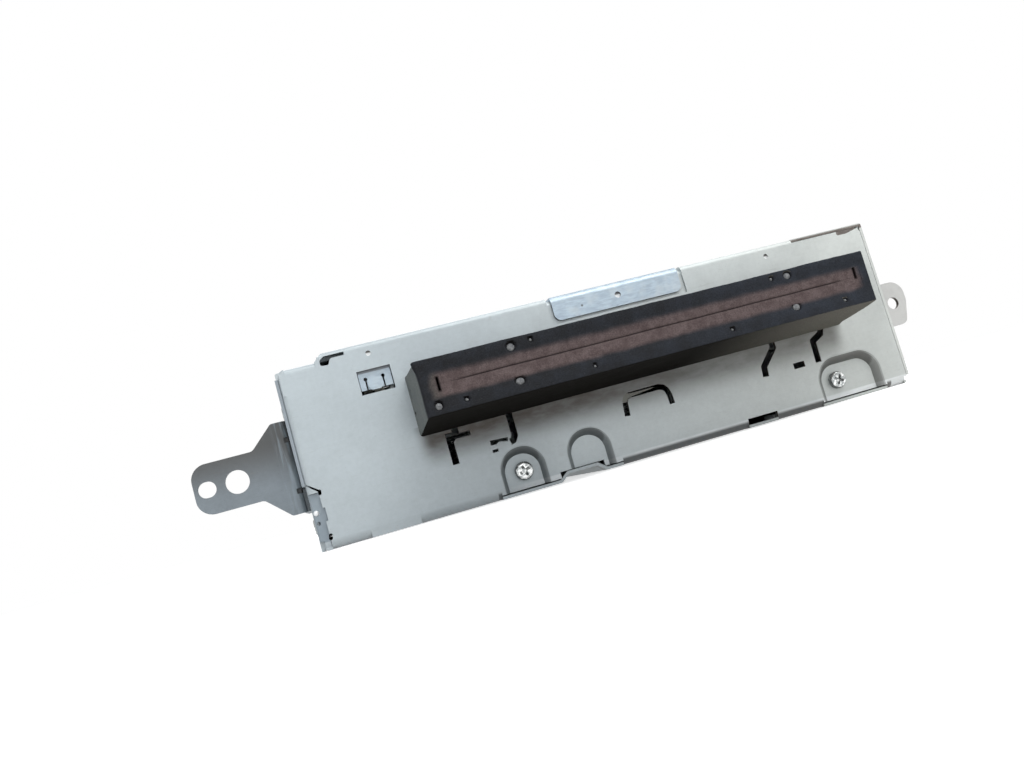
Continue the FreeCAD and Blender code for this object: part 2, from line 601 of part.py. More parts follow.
def bottom_cover():
    half = SHELL_IN
    rim = 12.0
    sheet = plate("XZ", [(-half, rim), (-half, 0.0, 1.0), (half, 0.0, 1.0), (half, rim),
                         (half - COVER, rim), (half - COVER, COVER, 0.2), (-half + COVER, COVER, 0.2),
                         (-half + COVER, rim)], FRONT + 0.4, BACK - 1)
    raised = channel(0.0, COVER, 0.0, -27.0)
    hollow = channel(-1.0, 0.0, 0.3, -28.0)
    posts = [rod("Z", x, y, 3.0, 0.0, BOARD_LOW) for x, y in BOARD_POSTS]
    out = -half - 0.95
    wing_back = WING_FRONT + COVER
    wing = plate("XY", [(-82.5, WING_FRONT), (out, WING_FRONT, 0.5), (out, wing_back), (-half, wing_back),
                        (-half, -70.0), (-half + COVER, -70.0), (-half + COVER, wing_back),
                        (-82.5, wing_back)], 2.6, WING_TOP - 0.05)
    knob = Part.makeSphere(0.75, FreeCAD.Vector(-87.2, WING_FRONT + 0.1, 9.95))
    gap = box(-half - 1, -85.3, FRONT, WING_FRONT + 0.5, COVER, rim + 1)
    sheet = less(joined([sheet, raised] + posts), [gap])
    sheet = joined([sheet, box(-half + 0.3, -85.4, WING_FRONT, wing_back, 0.4, 3.0), wing, knob])
    behind = FRONT + COVER_NOTCH
    cutters = [capsule("XZ", (-85.05, 3.6), (-85.2, 2.9), 0.5, FRONT, -77.0),
               rod("Y", -87.2, 7.25, 0.5, FRONT, -77.0),
               hollow,
               box(0, half + 1, FRONT, -70, COVER, rim + 1),
               box(-half - 1, half + 1, 66, BACK, COVER, rim + 1)]
    cutters += key_slot(FRONT, -77.0)
    cutters += [box(x0, x1, FRONT, behind, -1, COVER + 0.01) for x0, x1 in FLANGE_SPANS + PLAIN_SPANS]
    cutters += [rod("Z", x, y, 1.0, -1, BOARD_LOW + 1) for x, y in BOARD_POSTS]
    for y, z in SIDE_SCREWS:
        if z < rim:
            for side in (-1, 1):
                cutters.append(rod("X", y, z, 1.5, side * half - 2, side * half + 2))
    return less(sheet, cutters)


CONNECTOR = (-83.0, -65.0, 5.6, 23.6)
REAR_SCREWS = [(-40.0, 16.0), (45.0, 16.0)]


def rear_panel():
    half = SHELL_IN
    lip = 70.0
    inner, inner_back = half - SHEET, BACK - SHEET
    section = [(-half, lip), (-half, BACK, BEND), (half, BACK, BEND), (half, lip), (inner, lip),
               (inner, inner_back, BEND - SHEET), (-inner, inner_back, BEND - SHEET), (-inner, lip)]
    wall = plate("XY", section, 1.0, SHELL_TOP - 0.2)
    x0, x1, z0, z1 = CONNECTOR
    cutters = [box(x0 - 0.3, x1 + 0.3, BACK - 3, BACK + 1, z0 - 0.3, z1 + 0.3)]
    cutters += [capsule("XZ", (x, 14.0), (x, 34.0), 1.4, BACK - 3, BACK + 1) for x in range(8, 40, 6)]
    cutters += [rod("Y", x, z, 1.6, BACK - 3, BACK + 1) for x, z in REAR_SCREWS]
    for y, z in SIDE_SCREWS:
        if y > lip:
            for side in (-1, 1):
                cutters.append(rod("X", y, z, 1.5, side * half - 3, side * half + 3))
    return less(wall, cutters)


EAR_FRONT = -72.0
EAR_SHEET = 1.2
EAR_BEND = 1.7


def bracket_angle(side, z0, z1):
    """Bent angle of a bracket: a strip along the case side and the start of the ear."""
    near = side * WIDTH / 2
    far = near + side * EAR_SHEET
    out = near + side * 3.5
    ear_back = EAR_FRONT + EAR_SHEET
    corners = [(out, EAR_FRONT), (near, EAR_FRONT, EAR_BEND), (near, -30.0), (far, -30.0),
               (far, ear_back, EAR_BEND - EAR_SHEET), (out, ear_back)]
    return plate("XY", corners, z0, z1)


def left_bracket():
    foot, top = 11.1, 36.0
    end = -115.7
    corners = [(-92.0, top), (-93.1, top, 1.0), (-99.2, 30.2, 2.0), (end, 30.2, 4.2),
               (end, 16.9, 4.2), (-99.2, 16.9, 2.0), (-93.1, foot, 1.0), (-92.0, foot)]
    ear = plate("XZ", corners, EAR_FRONT, EAR_FRONT + EAR_SHEET)
    pad = box(-WIDTH / 2 - 0.2, -SHELL_HALF - 0.05, EAR_FRONT + 0.3, -32.0, foot, LEFT_APRON_FOOT - 0.2)
    whole = joined([bracket_angle(-1, foot, top), ear, pad])
    cutters = [rod("Y", -104.6, 23.5, 3.1, EAR_FRONT - 1, EAR_FRONT + 3),
               capsule("XZ", (-112.6, 23.5), (-112.1, 23.5), 2.1, EAR_FRONT - 1, EAR_FRONT + 3)]
    for z in (30.3, 16.4):
        cutters.append(box(-90.6, -89.2, EAR_FRONT - 1, EAR_FRONT + 0.5, z, z + 1.2))
    cutters += [rod("X", y, z, 1.6, -92, -88) for y, z in BRACKET_SCREWS]
    return less(whole, cutters)


def right_bracket():
    foot, top = 17.4, 31.0
    ear = plate("XZ", [(92.0, top), (101.3, top, 4.4), (101.3, 24.4, 3.5), (99.3, foot, 2.2), (92.0, foot)],
                EAR_FRONT, EAR_FRONT + EAR_SHEET)
    side = box(WIDTH / 2, WIDTH / 2 + EAR_SHEET, -66.0, -30.0, 14.0, 35.0)
    whole = joined([bracket_angle(1, foot, top), ear, side])
    cutters = [rod("Y", 96.6, 24.4, 1.85, EAR_FRONT - 1, EAR_FRONT + 3)]
    cutters += [rod("X", y, z, 1.6, 88, 92) for y, z in BRACKET_SCREWS]
    return less(whole, cutters)


def side_screws():
    group = []
    for y, z in SIDE_SCREWS:
        seat = -WIDTH / 2 if z > LEFT_APRON_FOOT else -SHELL_HALF
        group.append(screw((seat, y, z), (-1, 0, 0), 2.6, 1.7, 1.45, 3.6))
        group.append(screw((WIDTH / 2, y, z), (1, 0, 0), 2.6, 1.7, 1.45, 3.6))
    return group


def bracket_screws():
    seat = WIDTH / 2 + EAR_SHEET
    group = []
    for y, z in BRACKET_SCREWS:
        for side in (-1, 1):
            group.append(screw((side * seat, y, z), (side, 0, 0), 2.8, 1.8, 1.45, 4.2))
    return group


def front_screws():
    turns = (20.0, 65.0)
    return [screw((x, FRONT + RECESS_DEPTH, z), (0, -1, 0), 2.5, 1.8, 1.25, 5.0, turned)
            for (x, z), turned in zip(FRONT_SCREWS, turns)]


def rear_screws():
    return [screw((x, BACK, z), (0, 1, 0), 2.8, 1.8, 1.45, 4.5) for x, z in REAR_SCREWS]


# Foam seal

def foam_wire(rect, y):
    x0, x1, z0, z1 = rect
    return outline("XZ", [(x0, z0), (x1, z0), (x1, z1), (x0, z1)], y)


def dust_seal():
    block = Part.makeLoft([foam_wire(FOAM_BASE, FRONT), foam_wire(FOAM_FACE, FOAM_FRONT)], True)
    left, right = DISC_X - 60.5, DISC_X + 60.5
    window = box(left, right, FOAM_FRONT - 1, FRONT + 1, SLOT_LOW + 0.2, SLOT_HIGH - 0.3)
    room = box(left, right, LIP_FRONT - 0.3, LIP_FRONT + 5.0, LOWER_HINGE_Z - 1.5, UPPER_HINGE_Z + 1.5)
    return less(block, [window, room])


def lip(z0, z1):
    left, right = DISC_X - 60.2, DISC_X + 60.2
    return box(left, right, LIP_FRONT, LIP_FRONT + LIP_THICK, z0, z1)


# Board and rear connector

def main_board():
    board = box(-84.0, 84.0, -66.0, 68.0, BOARD_LOW, BOARD_TOP)
    return less(board, [rod("Z", x, y, 1.3, 0, 9) for x, y in BOARD_POSTS])


def board_screws():
    return [screw((x, y, BOARD_TOP), (0, 0, 1), 2.2, 1.4, 0.98, 4.4) for x, y in BOARD_POSTS]


def chip(x, y, long_x, long_y, high, leads):
    """Flat chip with a row of leads on two sides."""
    half_x, half_y = long_x / 2, long_y / 2
    under = BOARD_TOP + 0.2
    pieces = [box(x - half_x, x + half_x, y - half_y, y + half_y, under, BOARD_TOP + high)]
    for i in range(leads):
        at = x - half_x + long_x * (i + 0.5) / leads
        pieces.append(box(at - 0.3, at + 0.3, y - half_y - 1.4, y + half_y + 1.4, under, BOARD_TOP + 0.5))
        for side in (-1, 1):
            edge = y + side * (half_y + 1.2)
            pieces.append(box(at - 0.3, at + 0.3, edge - 0.2, edge + 0.2, BOARD_TOP, BOARD_TOP + 0.5))
    return joined(pieces)


def board_chips():
    return [chip(20.0, -20.0, 22.0, 20.0, 2.0, 10), chip(-30.0, 12.0, 16.0, 10.0, 1.8, 8),
            chip(-74.0, -44.0, 12.0, 8.0, 1.8, 6)]


def board_capacitors():
    group = []
    for y in (-18.0, -4.0, 10.0):
        can = rod("Z", -75.0, y, 5.0, BOARD_TOP, 20.0)
        groove = ring("Z", -75.0, y, 5.5, 4.6, 7.4, 8.2)
        cross = [box(-78.0, -72.0, y - 0.2, y + 0.2, 19.7, 21), box(-75.2, -74.8, y - 3, y + 3, 19.7, 21)]
        group.append(less(can, [groove] + cross))
    return group


def cable_socket():
    body = box(74.5, 80.5, -12.0, 16.0, BOARD_TOP, 12.5)
    slit = box(76.8, 78.2, -10.0, 14.0, 7.6, 13.0)
    return less(body, [slit])


def connector_pin_places():
    x0, x1, z0, _ = CONNECTOR
    return [((x0 + x1) / 2 + side * 2.2, z0 + 4.0 + i * 2.0) for side in (-1, 1) for i in range(6)]


def rear_connector():
    x0, x1, z0, z1 = CONNECTOR
    body = box(x0, x1, 62.0, BACK, z0, z1)
    cavity = box(x0 + 2, x1 - 2, 68.0, BACK + 1, z0 + 2, z1 - 2)
    key = box(x0 - 1, x0 + 2.5, 72.0, BACK + 1, 13.0, 16.2)
    holes = [box(x - 0.4, x + 0.4, 60, 70, z - 0.4, z + 0.4) for x, z in connector_pin_places()]
    return less(body, [cavity, key] + holes)


def connector_pins():
    return [box(x - 0.4, x + 0.4, 60.5, 76.5, z - 0.4, z + 0.4) for x, z in connector_pin_places()]


# Fixed frame of the mechanism

WALL_REAR = 28.0
TOP_TABS = (-58.5, -28.5)


def front_foot(x0, x1):
    return plate("YZ", [(-77.0, 2.5), (-77.0, 11.0, BEND), (-70.0, 11.0), (-70.0, 10.0),
                        (-76.0, 10.0, BEND - SHEET), (-76.0, 2.5)], x0, x1)


def rear_foot(x0, x1):
    y = BACK - SHEET
    return plate("YZ", [(y, 22.0), (y, 10.0, BEND), (60.0, 10.0), (60.0, 11.0),
                        (y - SHEET, 11.0, BEND - SHEET), (y - SHEET, 22.0)], x0, x1)


def mech_frame():
    left, right = MECH_LEFT, MECH_RIGHT
    floor, top = MECH_FLOOR, MECH_TOP
    section = [(left, top), (left, floor, BEND), (right, floor, BEND), (right, top), (right - SHEET, top),
               (right - SHEET, floor + SHEET, BEND - SHEET), (left + SHEET, floor + SHEET, BEND - SHEET),
               (left + SHEET, top)]
    tray = plate("XZ", section, -76.0, 70.0)
    tray = less(tray, [box(left - 1, right + 1, WALL_REAR, 71.0, 20.0, top + 1)])
    parts = [tray, front_foot(-38.2, -26.2), front_foot(59.4, 70.9)]
    parts += [rear_foot(-44.0, -36.0), rear_foot(41.0, 49.0)]
    for y in TOP_TABS:
        parts.append(box(left, left + 7.5, y - 3.5, y + 3.5, top - SHEET, top))
        parts.append(box(right - 7.5, right, y - 3.5, y + 3.5, top - SHEET, top))
    for y in (-30.0, -4.0):
        parts.append(rod("X", y, 18.0, 1.2, left - 1.5, left + 0.5))
        parts.append(rod("X", y, 18.0, 2.2, left - 2.0, left - 1.4))
    frame = joined(parts)
    cutters = [box(left - 1, left + 2, -72.8, -67.2, 20.5, 31.0)]
    for x in (left - 0.6, right + 0.6):
        cutters.append(rod("X", ARM_PIVOT[0], ARM_PIVOT[1], SHAFT_R, x - 2, x + 2))
    cutters.append(box(left - 1, left + 2, ARM_PIN[0] - 2.2, ARM_PIN[0] + 1.8, 23.7, 30.0))
    cutters.append(box(left - 1, left + 2, CLAMP_PIN[0] - 1.9, CLAMP_PIN[0] + 1.6, 32.6, top + 1))
    for x in (-24.0, 5.7, 35.4):
        for y in (-44.0, 10.0, 34.0):
            cutters.append(rod("Z", x, y, 8.0, floor - 1, floor + 2))
    for y in TOP_TABS:
        cutters.append(rod("Z", left + 4, y, 0.98, top - 2, top + 1))
        cutters.append(rod("Z", right - 4, y, 0.98, top - 2, top + 1))
    cutters += [rod("Y", x, z, 1.3, -78, -74) for x, z in FRONT_SCREWS]
    cutters += [rod("Y", x, z, 1.5, 76, 80) for x, z in REAR_SCREWS]
    return less(frame, cutters)


def mech_top():
    sheet = box(MECH_LEFT, MECH_RIGHT, -77.0, -24.0, MECH_TOP, MECH_TOP + SHEET)
    fold = box(MECH_LEFT + 10, MECH_RIGHT - 10, -25.0, -24.0, MECH_TOP, MECH_TOP + 3)
    posts = [rod("Z", DISC_X + side * LEVER_OFFSET, LEVER_Y, 1.5, 35.2, MECH_TOP + 0.5) for side in (-1, 1)]
    heads = [rod("Z", DISC_X + side * LEVER_OFFSET, LEVER_Y, 2.4, 34.8, 35.6) for side in (-1, 1)]
    sheet = joined([sheet, fold] + posts + heads)
    holes = []
    for y in TOP_TABS:
        holes.append(rod("Z", MECH_LEFT + 4, y, 1.1, MECH_TOP - 1, MECH_TOP + 3))
        holes.append(rod("Z", MECH_RIGHT - 4, y, 1.1, MECH_TOP - 1, MECH_TOP + 3))
    for x in (DISC_X - 22, DISC_X, DISC_X + 22):
        holes.append(rod("Z", x, -46.0, 6.0, MECH_TOP - 1, MECH_TOP + 3))
    return less(sheet, holes)


def mech_screws():
    seat = MECH_TOP + SHEET
    places = [(x, y) for x in (MECH_LEFT + 4, MECH_RIGHT - 4) for y in TOP_TABS]
    return [screw((x, y, seat), (0, 0, 1), 2.0, 1.3, 0.95, 2.6) for x, y in places]


def disc_guide():
    """Plastic guide above the roller; only its sloping ends touch the rim of a disc."""
    left, right = MECH_LEFT + 2.0, MECH_RIGHT - 2.0
    reach = 20.0
    low, high = DISC_UNDER + 1.5, 36.0
    section = [(left, MECH_TOP), (left, low), (left + 2, low), (left + reach, high),
               (right - reach, high), (right - 2, low), (right, low), (right, MECH_TOP)]
    bar = plate("XZ", section, -77.5, -65.0)
    lead_in = plate("YZ", [(-78.0, low - 1), (-75.0, low - 1), (-78.0, low + 3)], left - 1, right + 1)
    pockets = [box(x, x + 16, -75.0, -67.0, high + 2.0, MECH_TOP + 1) for x in range(-36, 36, 19)]
    return less(bar, [lead_in] + pockets)


def detect_switches():
    group = []
    for side in (-1, 1):
        x = DISC_X + side * (LEVER_OFFSET - 9)
        body = box(x - 3, x + 3, -31.0, -27.0, 37.8, MECH_TOP)
        group.append(joined([body, rod("Z", x, -29.0, 0.8, 37.4, 38.0)]))
    return group


# Loader gear train on the left wall

GEAR_OUT = MECH_LEFT - 4.1
GEAR_IN = MECH_LEFT - 1.6
LARGE_OUT = MECH_LEFT - 6.7
LARGE_IN = MECH_LEFT - 4.5
CAM_OUT = MECH_LEFT - 1.3
CAM_IN = MECH_LEFT - 0.3
UP = math.pi / 2
ROLLER_TURN = UP
IDLER_TURN = turn_in_mesh(ROLLER_TURN, ROLLER_TEETH, IDLER_TEETH, UP)
SMALL_TURN = turn_in_mesh(IDLER_TURN, IDLER_TEETH, SMALL_TEETH, 0.0)
LARGE_TURN = 0.0
PINION_TURN = turn_in_mesh(LARGE_TURN, LARGE_TEETH, PINION_TEETH, 0.0)


def roller_gear():
    wheel = gear("X", ROLLER_AXIS, MODULE, ROLLER_TEETH, ROLLER_TURN, GEAR_OUT, GEAR_IN)
    return less(wheel, [rod("X", ROLLER_AXIS[0], ROLLER_AXIS[1], SHAFT_R, GEAR_OUT - 1, GEAR_IN + 1)])


def idler_gear():
    wheel = gear("X", IDLER_AXIS, MODULE, IDLER_TEETH, IDLER_TURN, GEAR_OUT, GEAR_IN)
    return less(wheel, [rod("X", IDLER_AXIS[0], IDLER_AXIS[1], BORE_R, GEAR_OUT - 1, GEAR_IN + 1)])


def double_gear():
    small = gear("X", DOUBLE_AXIS, MODULE, SMALL_TEETH, SMALL_TURN, LARGE_IN - 0.1, GEAR_IN)
    large = gear("X", DOUBLE_AXIS, MODULE, LARGE_TEETH, LARGE_TURN, LARGE_OUT, LARGE_IN)
    web = [rod("X", DOUBLE_AXIS[0] + 6.1 * math.cos(a), DOUBLE_AXIS[1] + 6.1 * math.sin(a), 1.2,
               LARGE_OUT - 1, LARGE_IN - 0.01) for a in [k * math.pi / 3 for k in range(6)]]
    bore = rod("X", DOUBLE_AXIS[0], DOUBLE_AXIS[1], BORE_R, LARGE_OUT - 1, GEAR_IN + 1)
    return less(joined([small, large]), web + [bore])


def gear_posts():
    return [rod("X", IDLER_AXIS[0], IDLER_AXIS[1], POST_R, GEAR_OUT - 0.2, MECH_LEFT),
            rod("X", DOUBLE_AXIS[0], DOUBLE_AXIS[1], POST_R, LARGE_OUT - 0.3, MECH_LEFT)]


def motor_bracket():
    face = box(MECH_LEFT - 8.1, MECH_LEFT - 7.1, -57.0, -38.0, 30.5, 46.0)
    web = box(MECH_LEFT - 8.1, MECH_LEFT, -39.0, -38.0, 34.5, 44.0)
    foot = box(MECH_LEFT - 1.0, MECH_LEFT, -39.0, -30.0, 34.5, 44.0)
    hole = rod("X", PINION_AXIS[0], PINION_AXIS[1], 2.6, MECH_LEFT - 9, MECH_LEFT - 6)
    return less(joined([face, web, foot]), [hole])


def loading_motor():
    out = MECH_LEFT - 25.5
    can = rod("X", PINION_AXIS[0], PINION_AXIS[1], 7.5, out, MECH_LEFT - 8.1)
    can = can.makeFillet(0.8, [e for e in can.Edges if abs(e.BoundBox.XMax - out) < 1e-6])
    boss = rod("X", PINION_AXIS[0], PINION_AXIS[1], 2.5, MECH_LEFT - 8.2, MECH_LEFT - 7.2)
    flats = [box(out - 1, MECH_LEFT - 8.3, PINION_AXIS[0] - 8, PINION_AXIS[0] + 8, z0, z0 + 2)
             for z0 in (PINION_AXIS[1] + 6.2, PINION_AXIS[1] - 8.2)]
    bore = rod("X", PINION_AXIS[0], PINION_AXIS[1], 0.85, MECH_LEFT - 18, MECH_LEFT - 7)
    return less(joined([can, boss]), flats + [bore])


def motor_pinion():
    wheel = gear("X", PINION_AXIS, MODULE, PINION_TEETH, PINION_TURN, LARGE_OUT, LARGE_IN)
    shaft = rod("X", PINION_AXIS[0], PINION_AXIS[1], 0.8, MECH_LEFT - 17, LARGE_IN - 0.2)
    return joined([wheel, shaft])


# Cam slider and its gear

MODE_TURN = -UP
RACK_LINE = DOUBLE_AXIS[1] - MODULE * MODE_TEETH / 2


def rotated(place, pivot, degrees):
    a = math.radians(degrees)
    y, z = place[0] - pivot[0], place[1] - pivot[1]
    return (pivot[0] + y * math.cos(a) - z * math.sin(a), pivot[1] + y * math.sin(a) + z * math.cos(a))


def cam_slot(pin, pivot, degrees, radius):
    """Slot that a pin runs in while the slider goes back by its full travel."""
    end = rotated(pin, pivot, degrees)
    return capsule("YZ", pin, (end[0] - SLIDER_TRAVEL, end[1]), radius, CAM_OUT - 1, CAM_IN + 1)


def cam_slider():
    root = RACK_LINE - 1.3 * MODULE
    bar = plate("YZ", [(-62.0, 14.0, 1), (30.0, 14.0, 1), (30.0, 22.0, 1), (26.0, 22.0), (26.0, 42.2, 2),
                       (2.0, 42.2, 2), (2.0, 22.0), (-37.0, 22.0), (-37.0, 32.0, 2), (-56.0, root),
                       (-74.6, root), (-74.6, 30.2), (-62.0, 30.2)], CAM_OUT, CAM_IN)
    head = box(CAM_OUT, CAM_IN, -74.6, -57.0, root - 0.4, root)
    teeth = rack_teeth("YZ", DOUBLE_AXIS[0], RACK_LINE, 1, MODULE, -74.6, -57.0, CAM_OUT, CAM_IN)
    body = joined([bar, head] + teeth)
    cutters = [cam_slot(ARM_PIN, ARM_PIVOT, ARM_SWING, 1.35),
               cam_slot(CLAMP_PIN, CLAMP_PIVOT, CLAMP_SWING, 1.65)]
    for y in (-30.0, -4.0):
        cutters.append(capsule("YZ", (y, 18.0), (y - SLIDER_TRAVEL, 18.0), 1.3, CAM_OUT - 1, CAM_IN + 1))
    return less(body, cutters)


def mode_gear():
    wheel = gear("X", DOUBLE_AXIS, MODULE, MODE_TEETH, MODE_TURN, CAM_OUT, CAM_IN)
    return less(wheel, [rod("X", DOUBLE_AXIS[0], DOUBLE_AXIS[1], BORE_R, CAM_OUT - 1, CAM_IN + 1)])


# Roller and its arm

EAR_LEFT = (MECH_LEFT + 1.7, MECH_LEFT + 2.7)
EAR_RIGHT = (MECH_RIGHT - 2.6, MECH_RIGHT - 1.6)


def roller_arm():
    front = [(-73.2, 30.9, 2), (-66.5, 30.9, 2), (-58.0, 28.6, 1)]
    low = [(-57.5, 20.8), (-63.0, 20.8), (-66.5, 22.0, 1), (-73.2, 24.6, 2)]
    left = plate("YZ", front + [(-41.2, 28.0, 1.5), (-41.2, 22.8, 1.5)] + low, EAR_LEFT[0], EAR_LEFT[1])
    right = plate("YZ", front + [(-50.8, 28.0, 1.5), (-50.8, 22.8, 1.5)] + low, EAR_RIGHT[0], EAR_RIGHT[1])
    angle = [(-63.0, 20.8), (-57.5, 20.8), (-57.5, 23.4), (-58.3, 23.4), (-58.3, 21.6), (-63.0, 21.6)]
    bar = plate("YZ", angle, EAR_LEFT[0], EAR_RIGHT[1])
    pins = [rod("X", ARM_PIVOT[0], ARM_PIVOT[1], 1.2, MECH_LEFT - 0.1, EAR_LEFT[0] + 0.5),
            rod("X", ARM_PIVOT[0], ARM_PIVOT[1], 1.2, EAR_RIGHT[1] - 0.5, MECH_RIGHT + 0.2),
            rod("X", ARM_PIN[0], ARM_PIN[1], 1.2, CAM_OUT + 0.1, EAR_LEFT[0] + 0.5)]
    y, z = ROLLER_AXIS
    seats = [rod("X", y, z, 2.2, ear[0] - 1, ear[1] + 1) for ear in (EAR_LEFT, EAR_RIGHT)]
    return less(joined([left, right, bar] + pins), seats)


def roller_bushes():
    group = []
    for ear, side in ((EAR_LEFT, 1), (EAR_RIGHT, -1)):
        sleeve = rod("X", ROLLER_AXIS[0], ROLLER_AXIS[1], 2.2, ear[0] - 0.2, ear[1] + 0.2)
        inner = ear[1] if side > 0 else ear[0] - 0.6
        rim = rod("X", ROLLER_AXIS[0], ROLLER_AXIS[1], 3.0, inner, inner + 0.6)
        bore = rod("X", ROLLER_AXIS[0], ROLLER_AXIS[1], SHAFT_R + 0.05, ear[0] - 2, ear[1] + 2)
        group.append(less(joined([sleeve, rim]), [bore]))
    return group


def roller_shaft():
    return rod("X", ROLLER_AXIS[0], ROLLER_AXIS[1], SHAFT_R, GEAR_OUT - 0.5, MECH_RIGHT - 1.5)


def rubber_roller():
    """Two tapered rubber sleeves, thick at the ends so that they grip only the rim of a disc."""
    y, z = ROLLER_AXIS
    thick, thin = 4.0, 3.3
    left, right = EAR_LEFT[1] + 2.0, EAR_RIGHT[0] - 2.0
    axis = FreeCAD.Vector(1, 0, 0)
    a = Part.makeCone(thick, thin, DISC_X - 0.5 - left, FreeCAD.Vector(left, y, z), axis)
    b = Part.makeCone(thin, thick, right - DISC_X - 0.5, FreeCAD.Vector(DISC_X + 0.5, y, z), axis)
    bore = rod("X", y, z, SHAFT_R, left - 1, right + 1)
    return [less(a, [bore]), less(b, [bore])]


# Sprung deck

CLAMP_EAR_IN = 32.3
CLAMP_EAR_OUT = 33.5


def traverse_deck():
    corners = [(-48.0, -38.0, 4), (60.0, -38.0, 4), (60.0, 72.0, 4), (-48.0, 72.0, 4)]
    parts = [plate("XY", corners, DECK_LOW, DECK_TOP)]
    foot = DECK_TOP - 0.5
    cheek = [(56.0, foot), (69.0, foot), (66.5, 37.5, 2), (58.5, 37.5, 2)]
    for side in (-1, 1):
        x0, x1 = sorted((DISC_X + side * CLAMP_EAR_IN, DISC_X + side * CLAMP_EAR_OUT))
        parts.append(plate("YZ", cheek, x0, x1))
        rod_x = DISC_X + side * ROD_OFFSET
        for y0, y1 in ((4.0, 7.0), (68.2, 71.2)):
            parts.append(box(rod_x - 2.4, rod_x + 2.4, y0, y1, foot, ROD_Z + 2.3))
    parts.append(rod("Z", SLED_GEAR[0], SLED_GEAR[1], POST_R, foot, 26.7))
    deck = joined(parts)
    motor_x, motor_y = sled_motor_place()
    cutters = [rod("Z", DISC_X, DISC_Y, 4.0, 20, 23), rod("Z", motor_x, motor_y, 3.0, 20, 23),
               plate("XY", [(DISC_X - 16.8, 10.6, 2), (DISC_X + 16.8, 10.6, 2), (DISC_X + 16.8, 68.5, 2),
                            (DISC_X - 16.8, 68.5, 2)], 20, 23)]
    for side in (-1, 1):
        cutters.append(rod("Y", DISC_X + side * ROD_OFFSET, ROD_Z, ROD_R, 2, 74))
        x = DISC_X + side * CLAMP_EAR_IN
        cutters.append(rod("X", CLAMP_PIVOT[0], CLAMP_PIVOT[1], POST_R, x - 2, x + 2))
    return less(deck, cutters)


def deck_pins():
    return [rod("Z", x, y, 1.5, 14.0, DECK_LOW) for x, y in DAMPERS]


def oil_dampers():
    seat = MECH_FLOOR + SHEET
    return [less(rod("Z", x, y, 5.0, seat, 20.0), [rod("Z", x, y, 2.6, 13.0, 21.0)]) for x, y in DAMPERS]


def deck_springs():
    return [coil("Z", (x, y), MECH_FLOOR + SHEET, DECK_LOW, 6.4, 0.4, 4) for x, y in DAMPERS]


def spindle_motor():
    can = rod("Z", DISC_X, DISC_Y, 11.8, 12.0, DECK_LOW)
    can = can.makeFillet(0.8, [e for e in can.Edges if abs(e.BoundBox.ZMax - 12.0) < 1e-6])
    boss = rod("Z", DISC_X, DISC_Y, 3.6, DECK_LOW - 0.2, DECK_TOP)
    return less(joined([can, boss]), [rod("Z", DISC_X, DISC_Y, BORE_R, 13.5, 23.0)])


def turntable():
    shaft = rod("Z", DISC_X, DISC_Y, POST_R, 14.0, 28.0)
    boss = rod("Z", DISC_X, DISC_Y, 3.2, 22.6, 27.4)
    seat = rod("Z", DISC_X, DISC_Y, 14.0, 27.0, 28.8)
    hollow = ring("Z", DISC_X, DISC_Y, 12.4, 8.4, 28.3, 29.0)
    cone = Part.makeCone(7.4, 6.4, 1.6, FreeCAD.Vector(DISC_X, DISC_Y, 28.8))
    whole = joined([shaft, boss, seat, cone])
    teeth = [box(DISC_X - 8, DISC_X + 8, DISC_Y - 0.4, DISC_Y + 0.4, 29.9, 31),
             box(DISC_X - 0.4, DISC_X + 0.4, DISC_Y - 8, DISC_Y + 8, 29.9, 31)]
    return less(whole, [hollow] + teeth)


def guide_rods():
    return [rod("Y", DISC_X + side * ROD_OFFSET, ROD_Z, ROD_R, 4.0, 71.2) for side in (-1, 1)]


LENS_ROOM = (4.9, 4.2)


def pickup_body():
    core = box(DISC_X - 14.0, DISC_X + 14.0, LENS_Y - 7, LENS_Y + 13, 15.5, 26.0)
    wings = []
    for side in (-1, 1):
        x0, x1 = sorted((DISC_X + side * 13.5, DISC_X + side * 24.0))
        wings.append(box(x0, x1, LENS_Y - 6, LENS_Y + 12, 22.4, 26.0))
    body = joined([core] + wings)
    half_x, half_y = LENS_ROOM[0] + 0.6, LENS_ROOM[1] + 0.6
    cutters = [box(DISC_X - half_x, DISC_X + half_x, LENS_Y - half_y, LENS_Y + half_y, 24.4, 27.0)]
    cutters.append(box(DISC_X - 18, DISC_X - 15.5, LENS_Y - 8, LENS_Y + 14, 25.2, 27))
    for side in (-1, 1):
        x = DISC_X + side * ROD_OFFSET
        cutters.append(rod("Y", x, ROD_Z, ROD_R + 0.05, LENS_Y - 8, LENS_Y + 14))
        cutters.append(box(x - 3.2, x + 3.2, LENS_Y - 1.5, LENS_Y + 7.5, 22, 27))
    return less(body, cutters)


def lens_holder():
    half_x, half_y = LENS_ROOM
    body = box(DISC_X - half_x, DISC_X + half_x, LENS_Y - half_y, LENS_Y + half_y, 24.9, 26.2)
    collar = rod("Z", DISC_X, LENS_Y, 3.0, 26.0, 26.7)
    return less(joined([body, collar]), [rod("Z", DISC_X, LENS_Y, 2.3, 25.6, 27.0)])


def pickup_lens():
    disc = rod("Z", DISC_X, LENS_Y, 2.3, 25.6, 26.5)
    dome = Part.makeSphere(4.0, FreeCAD.Vector(DISC_X, LENS_Y, 23.2))
    cap = dome.common(rod("Z", DISC_X, LENS_Y, 2.1, 26.4, 28.0))
    return joined([disc, cap])


SLED_TURN = math.pi
SLED_LARGE_TURN = 0.0
SLED_PINION_TURN = turn_in_mesh(SLED_LARGE_TURN, SLED_LARGE_TEETH, SLED_PINION_TEETH, 0.0)


